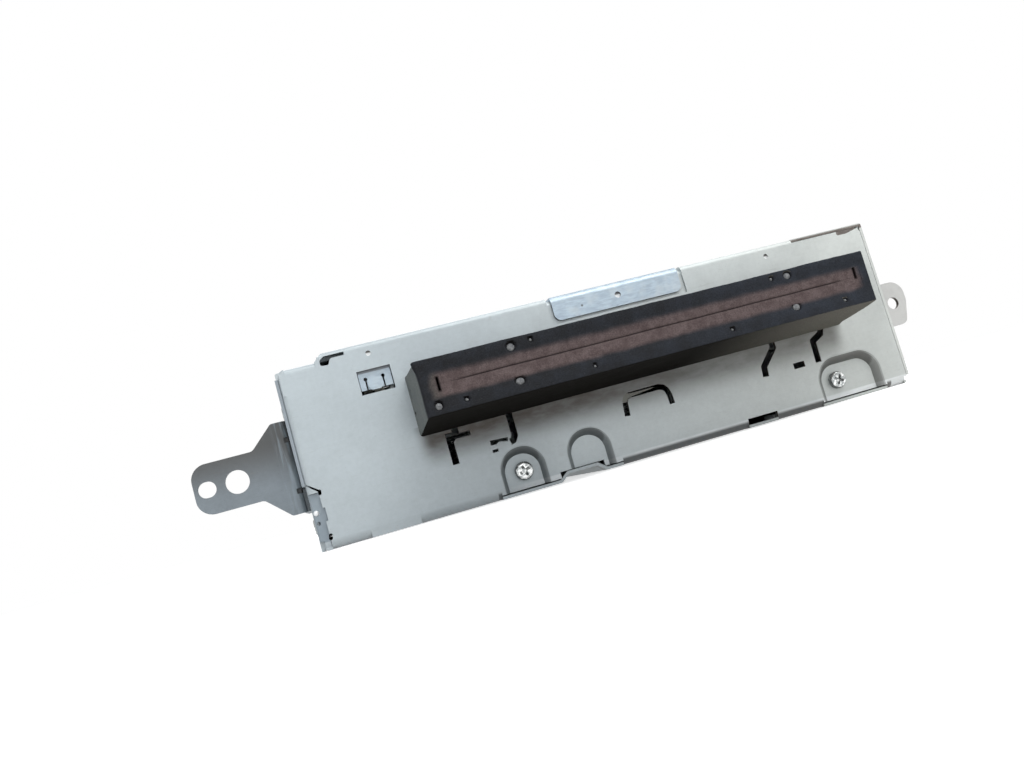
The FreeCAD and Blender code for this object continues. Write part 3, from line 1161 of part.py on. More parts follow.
def sled_rack():
    first, last = -11.0, 32.4
    root = RACK_X - 1.3 * MODULE
    back = box(32.8, root, first, last, 24.2, 26.0)
    arm = box(DISC_X + 24.0, 33.0, LENS_Y - 5, LENS_Y + 11, 24.4, 25.8)
    teeth = rack_teeth("XY", SLED_GEAR[1], RACK_X, 1, MODULE, first, last, 24.2, 26.0)
    return joined([back, arm] + teeth)


def sled_gear():
    large = gear("Z", SLED_GEAR, FINE_MODULE, SLED_LARGE_TEETH, SLED_LARGE_TURN, 22.5, 23.8)
    small = gear("Z", SLED_GEAR, MODULE, SLED_SMALL_TEETH, SLED_TURN, 23.7, 26.2)
    holes = [rod("Z", SLED_GEAR[0] + 5.6 * math.cos(a), SLED_GEAR[1] + 5.6 * math.sin(a), 1.1, 22, 24)
             for a in [k * math.pi / 2 for k in range(4)]]
    return less(joined([large, small]), holes + [rod("Z", SLED_GEAR[0], SLED_GEAR[1], BORE_R, 22, 27)])


def sled_motor_place():
    return (SLED_GEAR[0] + FINE_MODULE * (SLED_LARGE_TEETH + SLED_PINION_TEETH) / 2, SLED_GEAR[1])


def sled_motor():
    x, y = sled_motor_place()
    can = rod("Z", x, y, 8.0, 12.0, DECK_LOW)
    can = can.makeFillet(0.8, [e for e in can.Edges if abs(e.BoundBox.ZMax - 12.0) < 1e-6])
    boss = rod("Z", x, y, 2.4, DECK_LOW - 0.2, DECK_TOP)
    return less(joined([can, boss]), [rod("Z", x, y, 0.8, 13.0, 23.0)])


def sled_pinion():
    x, y = sled_motor_place()
    wheel = gear("Z", (x, y), FINE_MODULE, SLED_PINION_TEETH, SLED_PINION_TURN, 22.5, 23.9)
    return joined([wheel, rod("Z", x, y, 0.75, 13.5, 23.8)])


# Clamp above the disc

def clamp_arm():
    low, top = 38.0, 39.0
    x = DISC_X
    corners = [(x - 31.2, 66.0, 2), (x - 31.2, 50.0, 4), (x - 11.0, 14.0, 4), (x - 9.0, -6.0),
               (x + 9.0, -6.0), (x + 11.0, 14.0, 4), (x + 31.2, 50.0, 4), (x + 31.2, 66.0, 2)]
    blade = plate("XY", corners, low, top)
    head = rod("Z", x, DISC_Y, 15.0, low, top)
    wing_end = MECH_LEFT + 2.4
    wing = plate("XY", [(x, 15.0), (wing_end, 15.0, 2), (wing_end, 25.0, 2), (x, 25.0)], low, top)
    parts = [blade, head, wing]
    for side in (-1, 1):
        x0, x1 = sorted((x + side * 30.2, x + side * 31.2))
        parts.append(plate("YZ", [(57.5, top), (57.5, 32.6, 2), (65.5, 32.6, 2), (65.5, top)], x0, x1))
    parts.append(rod("X", CLAMP_PIN[0], CLAMP_PIN[1], 0.9, CAM_OUT + 0.1, MECH_LEFT + 9))
    arm = joined(parts)
    window = plate("XY", [(x - 18.0, 60.0, 3), (x - 18.0, 50.0, 3), (x - 5.0, 28.0, 3), (x + 5.0, 28.0, 3),
                          (x + 18.0, 50.0, 3), (x + 18.0, 60.0, 3)], low - 1, top + 1)
    bore = rod("X", CLAMP_PIVOT[0], CLAMP_PIVOT[1], BORE_R, x - 35, x + 35)
    return less(arm, [window, bore, rod("Z", x, DISC_Y, 6.2, low - 1, top + 1)])


def clamp_pin():
    return rod("X", CLAMP_PIVOT[0], CLAMP_PIVOT[1], POST_R, DISC_X - 34.5, DISC_X + 34.5)


def clamp_spring():
    x0 = DISC_X - 28.5
    return coil("X", CLAMP_PIVOT, x0, x0 + 6.0, 2.2, 0.35, 6)


def clamper():
    rim = rod("Z", DISC_X, DISC_Y, 11.0, 35.3, 37.6)
    neck = rod("Z", DISC_X, DISC_Y, 5.5, 37.4, 39.5)
    cap = rod("Z", DISC_X, DISC_Y, 8.0, 39.1, 40.1)
    return less(joined([rim, neck, cap]), [rod("Z", DISC_X, DISC_Y, 8.2, 35.0, 36.9)])


# Disc feeling levers

def lever(side):
    px, py = DISC_X + side * LEVER_OFFSET, LEVER_Y
    tip = (px - side * LEVER_PIN[0], py + LEVER_PIN[1])
    arm = capsule("XY", (px, py), tip, 2.2, 36.0, 37.2)
    tail = capsule("XY", (px, py), (px - side * 8.0, py + 6.5), 1.8, 36.0, 37.2)
    hub = rod("Z", px, py, 3.2, 36.0, 41.6)
    pin = rod("Z", tip[0], tip[1], 1.5, 29.5, 37.0)
    return less(joined([arm, tail, hub, pin]), [rod("Z", px, py, 1.55, 34, 43)])


def lever_springs():
    group = []
    for side in (-1, 1):
        group.append(coil("Z", (DISC_X + side * LEVER_OFFSET, LEVER_Y), 37.6, 40.6, 3.9, 0.3, 3))
    return group


PIECES = [
    ("chassis_shell", lambda: [chassis_shell()]),
    ("top_cover", lambda: [top_cover()]),
    ("bottom_cover", lambda: [bottom_cover()]),
    ("rear_panel", lambda: [rear_panel()]),
    ("left_bracket", lambda: [left_bracket()]),
    ("right_bracket", lambda: [right_bracket()]),
    ("side_screws", side_screws),
    ("bracket_screws", bracket_screws),
    ("front_screws", front_screws),
    ("rear_screws", rear_screws),
    ("dust_seal", lambda: [dust_seal()]),
    ("upper_lip", lambda: [lip(LIP_SPLIT + LIP_GAP / 2, UPPER_HINGE_Z)]),
    ("lower_lip", lambda: [lip(LOWER_HINGE_Z, LIP_SPLIT - LIP_GAP / 2)]),
    ("main_board", lambda: [main_board()]),
    ("board_screws", board_screws),
    ("board_chips", board_chips),
    ("board_capacitors", board_capacitors),
    ("cable_socket", lambda: [cable_socket()]),
    ("rear_connector", lambda: [rear_connector()]),
    ("connector_pins", connector_pins),
    ("mech_frame", lambda: [mech_frame()]),
    ("mech_top", lambda: [mech_top()]),
    ("mech_screws", mech_screws),
    ("disc_guide", lambda: [disc_guide()]),
    ("detect_switches", detect_switches),
    ("roller_gear", lambda: [roller_gear()]),
    ("idler_gear", lambda: [idler_gear()]),
    ("double_gear", lambda: [double_gear()]),
    ("gear_posts", gear_posts),
    ("motor_bracket", lambda: [motor_bracket()]),
    ("loading_motor", lambda: [loading_motor()]),
    ("motor_pinion", lambda: [motor_pinion()]),
    ("cam_slider", lambda: [cam_slider()]),
    ("mode_gear", lambda: [mode_gear()]),
    ("roller_arm", lambda: [roller_arm()]),
    ("roller_bushes", roller_bushes),
    ("roller_shaft", lambda: [roller_shaft()]),
    ("rubber_roller", rubber_roller),
    ("traverse_deck", lambda: [traverse_deck()]),
    ("deck_pins", deck_pins),
    ("oil_dampers", oil_dampers),
    ("deck_springs", deck_springs),
    ("spindle_motor", lambda: [spindle_motor()]),
    ("turntable", lambda: [turntable()]),
    ("guide_rods", guide_rods),
    ("pickup_body", lambda: [pickup_body()]),
    ("lens_holder", lambda: [lens_holder()]),
    ("pickup_lens", lambda: [pickup_lens()]),
    ("sled_rack", lambda: [sled_rack()]),
    ("sled_gear", lambda: [sled_gear()]),
    ("sled_motor", lambda: [sled_motor()]),
    ("sled_pinion", lambda: [sled_pinion()]),
    ("clamp_arm", lambda: [clamp_arm()]),
    ("clamp_pin", lambda: [clamp_pin()]),
    ("clamp_spring", lambda: [clamp_spring()]),
    ("clamper", lambda: [clamper()]),
    ("left_lever", lambda: [lever(-1)]),
    ("right_lever", lambda: [lever(1)]),
    ("lever_springs", lever_springs),
]

for name, make in PIECES:
    save(name, make())
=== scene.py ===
"""A slot-loading car disc deck: its finishes, its foam seal with the two lips, and a plain studio."""

import json
import math

import bpy
import numpy as np
from mathutils import Matrix, Vector, noise


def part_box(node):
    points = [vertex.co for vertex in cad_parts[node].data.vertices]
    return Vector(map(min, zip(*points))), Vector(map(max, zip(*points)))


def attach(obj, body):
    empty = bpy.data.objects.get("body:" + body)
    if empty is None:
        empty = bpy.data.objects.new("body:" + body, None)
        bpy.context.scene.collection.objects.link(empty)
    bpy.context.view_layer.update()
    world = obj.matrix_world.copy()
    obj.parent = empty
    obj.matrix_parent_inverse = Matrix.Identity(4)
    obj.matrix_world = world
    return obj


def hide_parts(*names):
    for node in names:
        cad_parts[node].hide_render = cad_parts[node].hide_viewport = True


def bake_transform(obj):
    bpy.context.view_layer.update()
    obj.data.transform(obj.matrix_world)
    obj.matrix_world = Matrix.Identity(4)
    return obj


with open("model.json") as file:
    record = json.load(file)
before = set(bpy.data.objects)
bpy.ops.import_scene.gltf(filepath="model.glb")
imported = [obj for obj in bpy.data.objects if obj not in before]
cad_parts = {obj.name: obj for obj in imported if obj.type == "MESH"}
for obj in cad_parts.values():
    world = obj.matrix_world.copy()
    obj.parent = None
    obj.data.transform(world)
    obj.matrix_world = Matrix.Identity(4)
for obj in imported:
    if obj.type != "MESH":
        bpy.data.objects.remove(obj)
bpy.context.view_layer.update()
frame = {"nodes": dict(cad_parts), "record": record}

MM = 0.001

# The camera stands low in front of the left half and is rolled to its left.
CAMERA_PLACE = Vector((-82.82, -316.66, 7.01)) * MM
CAMERA_TURN = 12.86
CAMERA_TILT = 5.25
CAMERA_ROLL = -15.86
CAMERA_LENS = 31.64
SENSOR = 36.0

# The lips' CAD boxes.
UPPER_LOW, UPPER_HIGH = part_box("upper_lip")
LOWER_LOW, LOWER_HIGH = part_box("lower_lip")


def camera():
    """The camera, at the photograph's place and angle."""
    data = bpy.data.cameras.new("camera")
    data.lens = CAMERA_LENS
    data.sensor_width = SENSOR
    data.clip_start = 0.001
    data.clip_end = 50.0
    thing = bpy.data.objects.new("camera", data)
    turn = Matrix.Rotation(math.radians(-CAMERA_TURN), 4, "Z")
    tilt = Matrix.Rotation(math.radians(90.0 + CAMERA_TILT), 4, "X")
    roll = Matrix.Rotation(math.radians(CAMERA_ROLL), 4, "Z")
    thing.matrix_world = Matrix.Translation(CAMERA_PLACE) @ turn @ tilt @ roll
    bpy.context.scene.collection.objects.link(thing)
    bpy.context.scene.camera = thing


# How soft a zone's ends are along y, in millimetres.
ZONE_SOFT_Y = 0.04


class Finish:
    """A node material that is being put together round one principled shader."""

    def __init__(self, name):
        self.material = bpy.data.materials.new(name)
        self.material.use_nodes = True
        self.tree = self.material.node_tree
        self.tree.nodes.clear()
        self.shader = self.tree.nodes.new("ShaderNodeBsdfPrincipled")
        output = self.tree.nodes.new("ShaderNodeOutputMaterial")
        self.tree.links.new(self.shader.outputs["BSDF"], output.inputs["Surface"])
        self.place = self.tree.nodes.new("ShaderNodeTexCoord").outputs["Object"]
        self.heights = []

    def feed(self, socket, value):
        """A number, a colour or another node's output goes into a socket."""
        if isinstance(value, bpy.types.NodeSocket):
            self.tree.links.new(value, socket)
        elif isinstance(value, (tuple, list)) and socket.type == "RGBA" and len(value) == 3:
            socket.default_value = (*value, 1.0)
        else:
            socket.default_value = value

    def node(self, kind, inputs, **settings):
        """A new node with its settings, fed at the named or numbered sockets."""
        made = self.tree.nodes.new(kind)
        for name, value in settings.items():
            setattr(made, name, value)
        for key, value in inputs.items():
            self.feed(made.inputs[key], value)
        return made

    def math(self, operation, a, b=0.0):
        """A sum, product or other arithmetic of two values."""
        return self.node("ShaderNodeMath", {0: a, 1: b}, operation=operation).outputs[0]

    def times(self, *shares):
        """Product of several shares."""
        product = shares[0]
        for share in shares[1:]:
            product = self.math("MULTIPLY", product, share)
        return product

    def most(self, *shares):
        """The largest of several shares."""
        largest = shares[0]
        for share in shares[1:]:
            largest = self.math("MAXIMUM", largest, share)
        return largest

    def scaled(self, size):
        """Place in units of a feature size in millimetres, one size or one for each axis."""
        sizes = (size,) * 3 if isinstance(size, (int, float)) else size
        factor = tuple(1.0 / (s * MM) for s in sizes)
        return self.node("ShaderNodeVectorMath", {0: self.place, 1: factor}, operation="MULTIPLY").outputs[0]

    def noise(self, size, detail=3.0, rough=0.5, warp=0.0):
        """Clouded noise round a half, with features of a size in millimetres."""
        inputs = {"Vector": self.scaled(size), "Scale": 1.0, "Detail": detail}
        inputs.update({"Roughness": rough, "Distortion": warp})
        return self.node("ShaderNodeTexNoise", inputs).outputs["Fac"]

    def cells(self, size, feature="F1", out="Distance"):
        """Cells of a size in millimetres: a distance in them, or another output."""
        inputs = {"Vector": self.scaled(size), "Scale": 1.0, "Randomness": 1.0}
        return self.node("ShaderNodeTexVoronoi", inputs, feature=feature).outputs[out]

    def span(self, value, low, high, to_low=0.0, to_high=1.0):
        """value from low to high becomes to_low to to_high, held at both ends, with soft bends."""
        inputs = {"Value": value, "From Min": low, "From Max": high, "To Min": to_low, "To Max": to_high}
        return self.node("ShaderNodeMapRange", inputs, interpolation_type="SMOOTHSTEP").outputs["Result"]

    def mix(self, share, a, b):
        """Colour a where the share is nought, b where it is one."""
        made = self.tree.nodes.new("ShaderNodeMix")
        made.data_type = "RGBA"
        self.feed(made.inputs["Factor"], share)
        self.feed(made.inputs[6], a)
        self.feed(made.inputs[7], b)
        return made.outputs[2]

    def shade(self, colour, factor):
        """A colour made lighter or darker by a factor near one."""
        return self.node("ShaderNodeVectorMath", {0: colour, "Scale": factor}, operation="SCALE").outputs[0]

    def part_of(self, vector, axis):
        """One part of a vector: "X", "Y" or "Z"."""
        return self.node("ShaderNodeSeparateXYZ", {0: vector}).outputs[axis]

    def ahead_of(self, y):
        """One in front of a place along y, given in millimetres."""
        return self.math("LESS_THAN", self.part_of(self.place, "Y"), y * MM)

    def facing(self, smooth=False):
        """The direction that the surface faces, flat or smoothed."""
        return self.tree.nodes.new("ShaderNodeNewGeometry").outputs["Normal" if smooth else "True Normal"]

    def within(self, axis, low, high, soft=0.15):
        """One where the place is between two millimetre values along an axis, with soft ends."""
        value = self.part_of(self.place, axis)
        rise = self.span(value, (low - soft) * MM, (low + soft) * MM)
        fall = self.span(value, (high - soft) * MM, (high + soft) * MM, 1.0, 0.0)
        return self.times(rise, fall)

    def zone(self, x, z, y=None, soft=0.15):
        """One inside a box given by its millimetre spans in x, z and, if wanted, y."""
        share = self.times(self.within("X", *x, soft), self.within("Z", *z, soft))
        if y is not None:
            share = self.times(share, self.within("Y", *y, ZONE_SOFT_Y))
        return share

    def tint(self, share, strength, colour, over):
        """A colour laid over another by a share times a strength."""
        return self.mix(self.times(share, strength), colour, over)

    def attribute(self, name):
        """The number that the mesh holds for each vertex under this name."""
        return self.node("ShaderNodeAttribute", {}, attribute_name=name).outputs["Fac"]

    def raise_by(self, height, depth):
        """Adds a bump of so many millimetres at full height."""
        self.heights.append((height, depth * MM))

    def done(self, **inputs):
        """The finished material, with its bumps stacked and its shader's sockets fed."""
        normal = None
        for height, depth in self.heights:
            bump = {"Height": height, "Strength": 1.0, "Distance": depth}
            if normal is not None:
                bump["Normal"] = normal
            normal = self.node("ShaderNodeBump", bump).outputs["Normal"]
        if normal is not None:
            self.feed(self.shader.inputs["Normal"], normal)
        for name, value in inputs.items():
            self.feed(self.shader.inputs[name.replace("_", " ")], value)
        return self.material


# Colours that all the zinc-coated sheets share.
RUB_GREY = (0.33, 0.34, 0.33)
STAIN_BROWN = (0.24, 0.22, 0.19)
DIRT_BROWN = (0.055, 0.048, 0.040)
CUT_BROWN = (0.052, 0.036, 0.027)
# Painted shade and painted highlight for the pressed pits.
PIT_PAINTED_SHADE = (0.10, 0.09, 0.08)
PIT_PAINTED_HIGHLIGHT = (0.92, 0.93, 0.93)
SPOT_CORE = 0.025
SPOT_EDGE = 0.055


def zinc(f, left, right, spread=1.0):
    """Colour of zinc-coated sheet: cloud, spangle, rolling grain, rub marks, stains and fine specks."""
    x = f.part_of(f.place, "X")
    colour = f.mix(f.span(x, -0.07, 0.09), left, right)
    cloud = f.noise(14.0, detail=4.0)
    spangle = f.part_of(f.cells(2.6, out="Color"), "X")
    grain = f.noise((6.0, 6.0, 0.16), detail=2.0)
    mottle = f.noise(1.1, detail=4.0, rough=0.65)
    specks = f.noise(0.5, detail=2.0)
    tone = f.span(cloud, 0.3, 0.7, -0.05 * spread, 0.05 * spread)
    for value, low, high, dark, light in (
        (spangle, 0.0, 1.0, -0.012, 0.012),
        (grain, 0.3, 0.7, -0.012, 0.012),
        (mottle, 0.3, 0.7, -0.025, 0.025),
        (specks, 0.66, 0.76, 0.0, -0.14),
        (specks, 0.34, 0.25, 0.0, 0.06),
    ):
        tone = f.math("ADD", tone, f.span(value, low, high, dark * spread, light * spread))
    colour = f.shade(colour, f.math("ADD", tone, 1.0))
    rubbed = f.span(f.noise((9.0, 9.0, 1.2), detail=5.0, rough=0.65, warp=0.6), 0.62, 0.72)
    colour = f.tint(rubbed, 0.22, colour, RUB_GREY)
    stain = f.span(f.noise(5.5, detail=5.0, rough=0.7), 0.62, 0.78)
    colour = f.tint(stain, 0.16, colour, STAIN_BROWN)
    f.raise_by(cloud, 0.02)
    f.raise_by(grain, 0.002)
    f.raise_by(mottle, 0.004)
    return colour, cloud, rubbed


def dirt_spots(f, colour, size, share, strength=0.75):
    """Small dark spots at a few of the points of a cell pattern."""
    distance = f.cells(size)
    pick = f.part_of(f.cells(size, out="Color"), "Y")
    spot = f.times(f.span(distance, SPOT_EDGE, SPOT_CORE), f.math("LESS_THAN", pick, share))
    return f.tint(spot, strength, colour, DIRT_BROWN)


def dimple(f, colour, cx, cz, radius, behind):
    """A small pressed pit with painted light: a painted highlight over most of it and painted shade at its
    top under the upper rim.
    """
    inside = f.zone((cx - radius, cx + radius), (cz - radius, cz + radius), soft=0.05)
    inside = f.times(inside, f.math("GREATER_THAN", f.part_of(f.place, "Y"), behind * MM))
    turn = f.span(f.part_of(f.place, "Z"), (cz - 0.05) * MM, (cz + 0.35) * MM)
    return f.tint(inside, 0.85, colour, f.mix(turn, PIT_PAINTED_HIGHLIGHT, PIT_PAINTED_SHADE))


def zinc_roughness(f, cloud, rubbed, rough):
    """Roughness round a middle value: it varies with the cloud, and rub marks are duller."""
    varied = f.span(cloud, 0.3, 0.7, rough - 0.05, rough + 0.07)
    return f.math("ADD", varied, f.times(rubbed, 0.12))


def plain_sheet(name, left, right, cut_y=None):
    """Zinc-coated sheet; faces turned aside in front of cut_y are its brown sheared edges."""
    f = Finish(name)
    colour, cloud, rubbed = zinc(f, left, right)
    colour = dirt_spots(f, colour, 9.0, 0.3)
    if cut_y is not None:
        colour = f.mix(sheared(f, cut_y), colour, CUT_BROWN)
    return f.done(Base_Color=colour, Metallic=0.3, Roughness=zinc_roughness(f, cloud, rubbed, 0.42))


def sheared(f, cut_y):
    """One on faces turned aside from the front, in front of a place given in millimetres."""
    aside = f.math("ABSOLUTE", f.part_of(f.facing(), "Y"))
    return f.times(f.span(aside, 0.35, 0.2), f.ahead_of(cut_y))


# Front wall: colours, then places as millimetre spans along the named axis, or along x, z and perhaps y.
PANEL_LEFT = (0.435, 0.487, 0.515)
PANEL_RIGHT = (0.515, 0.54, 0.525)
DUST_AND_SHADOW_BROWN = (0.052, 0.040, 0.030)
FOOT_PAINTED_SHADE = (0.25, 0.27, 0.28)
FOOT_PAINTED_LIGHT = (0.86, 0.89, 0.91)
DISH_PAINTED_SHADE_LEFT = (0.046, 0.053, 0.055)
DISH_PAINTED_SHADE_RIGHT = (0.048, 0.046, 0.040)
LANCED_PAINTED_SHADE = (0.155, 0.155, 0.135)
WALL_SKIN_Y = (-80.2, -77.6)
PAINTED_LIGHT_LOWER_X = (-22.0, 66.0)
DUST_AND_SHADOW_X = (-56.0, 70.0)
FOOT_BAND_Z = (0.0, 2.5)
DISHES_X = (-40.5, 82.0)
DISHES_Z = (-1.0, 14.5)
WINDOW_CUTS = ((-69.5, -58.2), (35.4, 42.4))
TAB_GROOVES = [((26.6, 29.5), (40.0, 51.0)), ((-14.5, -11.6), (40.0, 51.0))]
LANCED_EDGE = ((-1.2, 10.6), (16.2, 19.0), (-79.8, -78.6))
WALL_DIMPLES = [(-64.0, 46.9), (55.1, 46.8)]


def panel_sheet():
    """Front wall and case sides: painted light towards the top and on the middle below the seal, dust and
    painted shadow under the seal, painted shade and light on the foot band, painted shade on the dish walls
    and the lanced edge, pits with painted shade and highlight, brown cuts.
    """
    f = Finish("galvanised_panel")
    colour, cloud, rubbed = zinc(f, PANEL_LEFT, PANEL_RIGHT)
    z = f.part_of(f.place, "Z")
    x = f.part_of(f.place, "X")
    # Painted light: paler towards the top, most at the right.
    colour = f.shade(colour, f.span(z, 0.030, 0.048, 1.0, f.span(x, -0.06, 0.02, 1.06, 1.22)))
    # Painted light on the middle below the seal, where its shadow falls.
    painted_light_lower = f.times(f.within("X", *PAINTED_LIGHT_LOWER_X, 9.0), f.span(z, 0.020, 0.008))
    colour = f.shade(colour, f.math("ADD", f.times(painted_light_lower, 0.24), 1.0))
    smear = f.noise((7.0, 7.0, 2.5), detail=4.0, rough=0.6)
    # Dust and painted shadow under the seal: brown, darkest just below it and at the left.
    under = f.times(f.within("X", *DUST_AND_SHADOW_X, 2.5), f.span(z, 0.0120, 0.0203))
    under = f.times(under, f.math("LESS_THAN", z, 0.0245), f.span(smear, 0.25, 0.7, 0.8, 1.0))
    colour = f.tint(under, f.span(x, -0.03, 0.05, 0.97, 0.68), colour, DUST_AND_SHADOW_BROWN)
    # Foot band: painted shade at the left, painted light further right.
    band = f.times(f.within("Z", *FOOT_BAND_Z, 0.25), f.span(smear, 0.3, 0.6, 0.5, 1.0))
    foot = f.mix(f.span(x, -0.05, -0.02), FOOT_PAINTED_SHADE, FOOT_PAINTED_LIGHT)
    colour = f.tint(band, f.span(x, -0.05, -0.02, 0.12, 0.7), colour, foot)
    # Painted shade on dish walls that face down or aside.
    normal = f.facing(smooth=True)
    down = f.span(f.part_of(normal, "Z"), -0.04, -0.42)
    side = f.span(f.math("ABSOLUTE", f.part_of(normal, "X")), 0.08, 0.55)
    dish = f.times(f.most(down, f.times(side, 0.75)), f.within("Y", *WALL_SKIN_Y, 0.1))
    dish = f.times(dish, f.zone(DISHES_X, DISHES_Z))
    colour = f.tint(dish, 0.85, colour, f.mix(f.span(x, 0.0, 0.08), DISH_PAINTED_SHADE_LEFT, DISH_PAINTED_SHADE_RIGHT))
    pale_cuts = f.times(f.most(f.zone(*WINDOW_CUTS), *(f.zone(*groove) for groove in TAB_GROOVES)), 0.85)
    flange = f.math("GREATER_THAN", z, 0.0472)
    brown_cuts = f.math("SUBTRACT", 1.0, f.most(pale_cuts, flange))
    colour = f.tint(f.times(sheared(f, -79.1), brown_cuts), 0.9, colour, CUT_BROWN)
    # Painted shade on the lanced edge in the U slot.
    colour = f.tint(f.zone(*LANCED_EDGE, soft=0.03), 0.85, colour, LANCED_PAINTED_SHADE)
    for cx, cz in WALL_DIMPLES:
        colour = dimple(f, colour, cx, cz, 0.8, -79.97)
    colour = dirt_spots(f, colour, 6.5, 0.3)
    colour = dirt_spots(f, colour, 3.6, 0.12, 0.6)
    return f.done(Base_Color=colour, Metallic=0.22, Roughness=zinc_roughness(f, cloud, rubbed, 0.45))


# Top cover: places as millimetre spans along x, z and y, and its bluish and brown colours.
COVER_TAB = ((-12.2, 27.1), (42.5, 51.0), (-81.0, -73.8))
COVER_TONGUE = ((-68.6, -59.0), (36.5, 50.5), (-81.0, -74.0))
TAB_FOLD_Z = (48.0, 48.4)
TONGUE_SHADE_Z = (42.05, 46.0)
TAB_DIMPLE = (7.6, 46.2)
BROWN_EDGE = ((64.4, 89.5), (48.6, 49.75))
BROWN_FLAP = ((78.8, 87.1), (46.6, 49.3), (-79.1, -78.0))
BLUE_DEEP = (0.41, 0.50, 0.59)
BLUE_PALE = (0.55, 0.66, 0.75)
BLUE_WHITE = (0.62, 0.69, 0.73)
BROWN_DEEP = (0.085, 0.060, 0.048)
BROWN_PALE = (0.17, 0.14, 0.125)


def cover_sheet():
    """Top cover: bluish and streaked on tab and latch tongue, greyer elsewhere, with painted shade along the
    tab's bend and on the tongue under the window's top, a pit with painted shade and highlight, and brown cut
    at the right.
    """
    f = Finish("bluish_zinc")
    plain, cloud, rubbed = zinc(f, (0.47, 0.51, 0.53), (0.58, 0.60, 0.58))
    streak = f.noise((3.0, 3.0, 0.8), detail=4.0, rough=0.6, warp=0.5)
    blue = f.mix(f.span(streak, 0.3, 0.7), BLUE_DEEP, BLUE_PALE)
    blue = f.mix(f.span(f.noise(3.4, detail=3.0), 0.45, 0.7, 0.0, 0.55), blue, BLUE_WHITE)
    tab = f.zone(*COVER_TAB)
    tongue = f.zone(*COVER_TONGUE)
    colour = f.mix(f.most(tab, f.times(tongue, 0.75)), plain, blue)
    colour = f.tint(tongue, 0.3, colour, (0.25, 0.31, 0.36))
    # Painted shade along the tab's bend.
    fold_shade = f.times(f.within("Z", *TAB_FOLD_Z, 0.25), tab)
    colour = f.tint(fold_shade, 0.25, colour, (0.30, 0.36, 0.42))
    shade = f.times(f.within("Z", *TONGUE_SHADE_Z, 0.12), tongue)
    colour = f.tint(shade, 0.8, colour, (0.12, 0.12, 0.13))
    colour = dimple(f, colour, *TAB_DIMPLE, 1.0, -80.05)
    x = f.part_of(f.place, "X")
    edge_face = f.ahead_of(-78.9)
    left_apron = f.times(f.math("GREATER_THAN", f.math("ABSOLUTE", x), 0.0880), f.math("LESS_THAN", x, 0.0))
    colour = f.tint(f.times(left_apron, edge_face), 0.8, colour, (0.20, 0.235, 0.27))
    browned = f.most(f.times(f.zone(*BROWN_EDGE), edge_face), f.zone(*BROWN_FLAP))
    colour = f.tint(browned, 0.9, colour, f.mix(f.span(streak, 0.3, 0.7), BROWN_DEEP, BROWN_PALE))
    low_cut = f.times(sheared(f, -79.3), f.math("LESS_THAN", f.part_of(f.place, "Z"), 0.0480))
    colour = f.tint(low_cut, 0.8, colour, CUT_BROWN)
    colour = dirt_spots(f, colour, 9.0, 0.3)
    return f.done(Base_Color=colour, Metallic=0.28, Roughness=zinc_roughness(f, cloud, rubbed, 0.38))


# Bottom cover's left wing and the knob on it, in millimetres along x, z and y. The wing's colours are painted
# shade; the knob's white is a painted highlight.
WING = ((-90.0, -82.0), (2.2, 15.5), (-79.4, -69.0))
KNOB_PAINTED_HIGHLIGHT = ((-88.1, -86.3), (9.1, 10.8), (-80.0, -78.95))
WING_PAINTED_SHADE_DARK = (0.20, 0.245, 0.285)
WING_PAINTED_SHADE_LIGHT = (0.30, 0.345, 0.385)


def floor_sheet():
    """Bottom cover: like the panel, with painted shade making the left wing darker and bluer, a painted
    highlight on the knob, and brown cut edges.
    """
    f = Finish("cover_zinc")
    colour, cloud, rubbed = zinc(f, (0.42, 0.47, 0.50), (0.50, 0.53, 0.51))
    colour = f.tint(f.zone(*WING), 0.85, colour, f.mix(f.span(cloud, 0.35, 0.65), WING_PAINTED_SHADE_DARK, WING_PAINTED_SHADE_LIGHT))
    colour = f.tint(f.zone(*KNOB_PAINTED_HIGHLIGHT, soft=0.05), 0.95, colour, (0.86, 0.88, 0.90))
    colour = f.tint(sheared(f, -77.0), 0.35, colour, CUT_BROWN)
    return f.done(Base_Color=colour, Metallic=0.25, Roughness=zinc_roughness(f, cloud, rubbed, 0.42))


# Left ear, in millimetres: its plate ends at this y, and its marks lie beside the case.
EAR_PLATE_Y = -70.5
EAR_STREAKS_X = (-93.0, -88.5)
# Where the plate meets the case, and two notches in it, get painted shade.
EAR_SEAM_SHADE_X = (-89.3, -88.2)
EAR_NOTCH_SHADE = [((-90.7, -89.1), (30.2, 31.6)), ((-90.7, -89.1), (16.3, 17.7))]
EAR_GREY = (0.19, 0.22, 0.245)


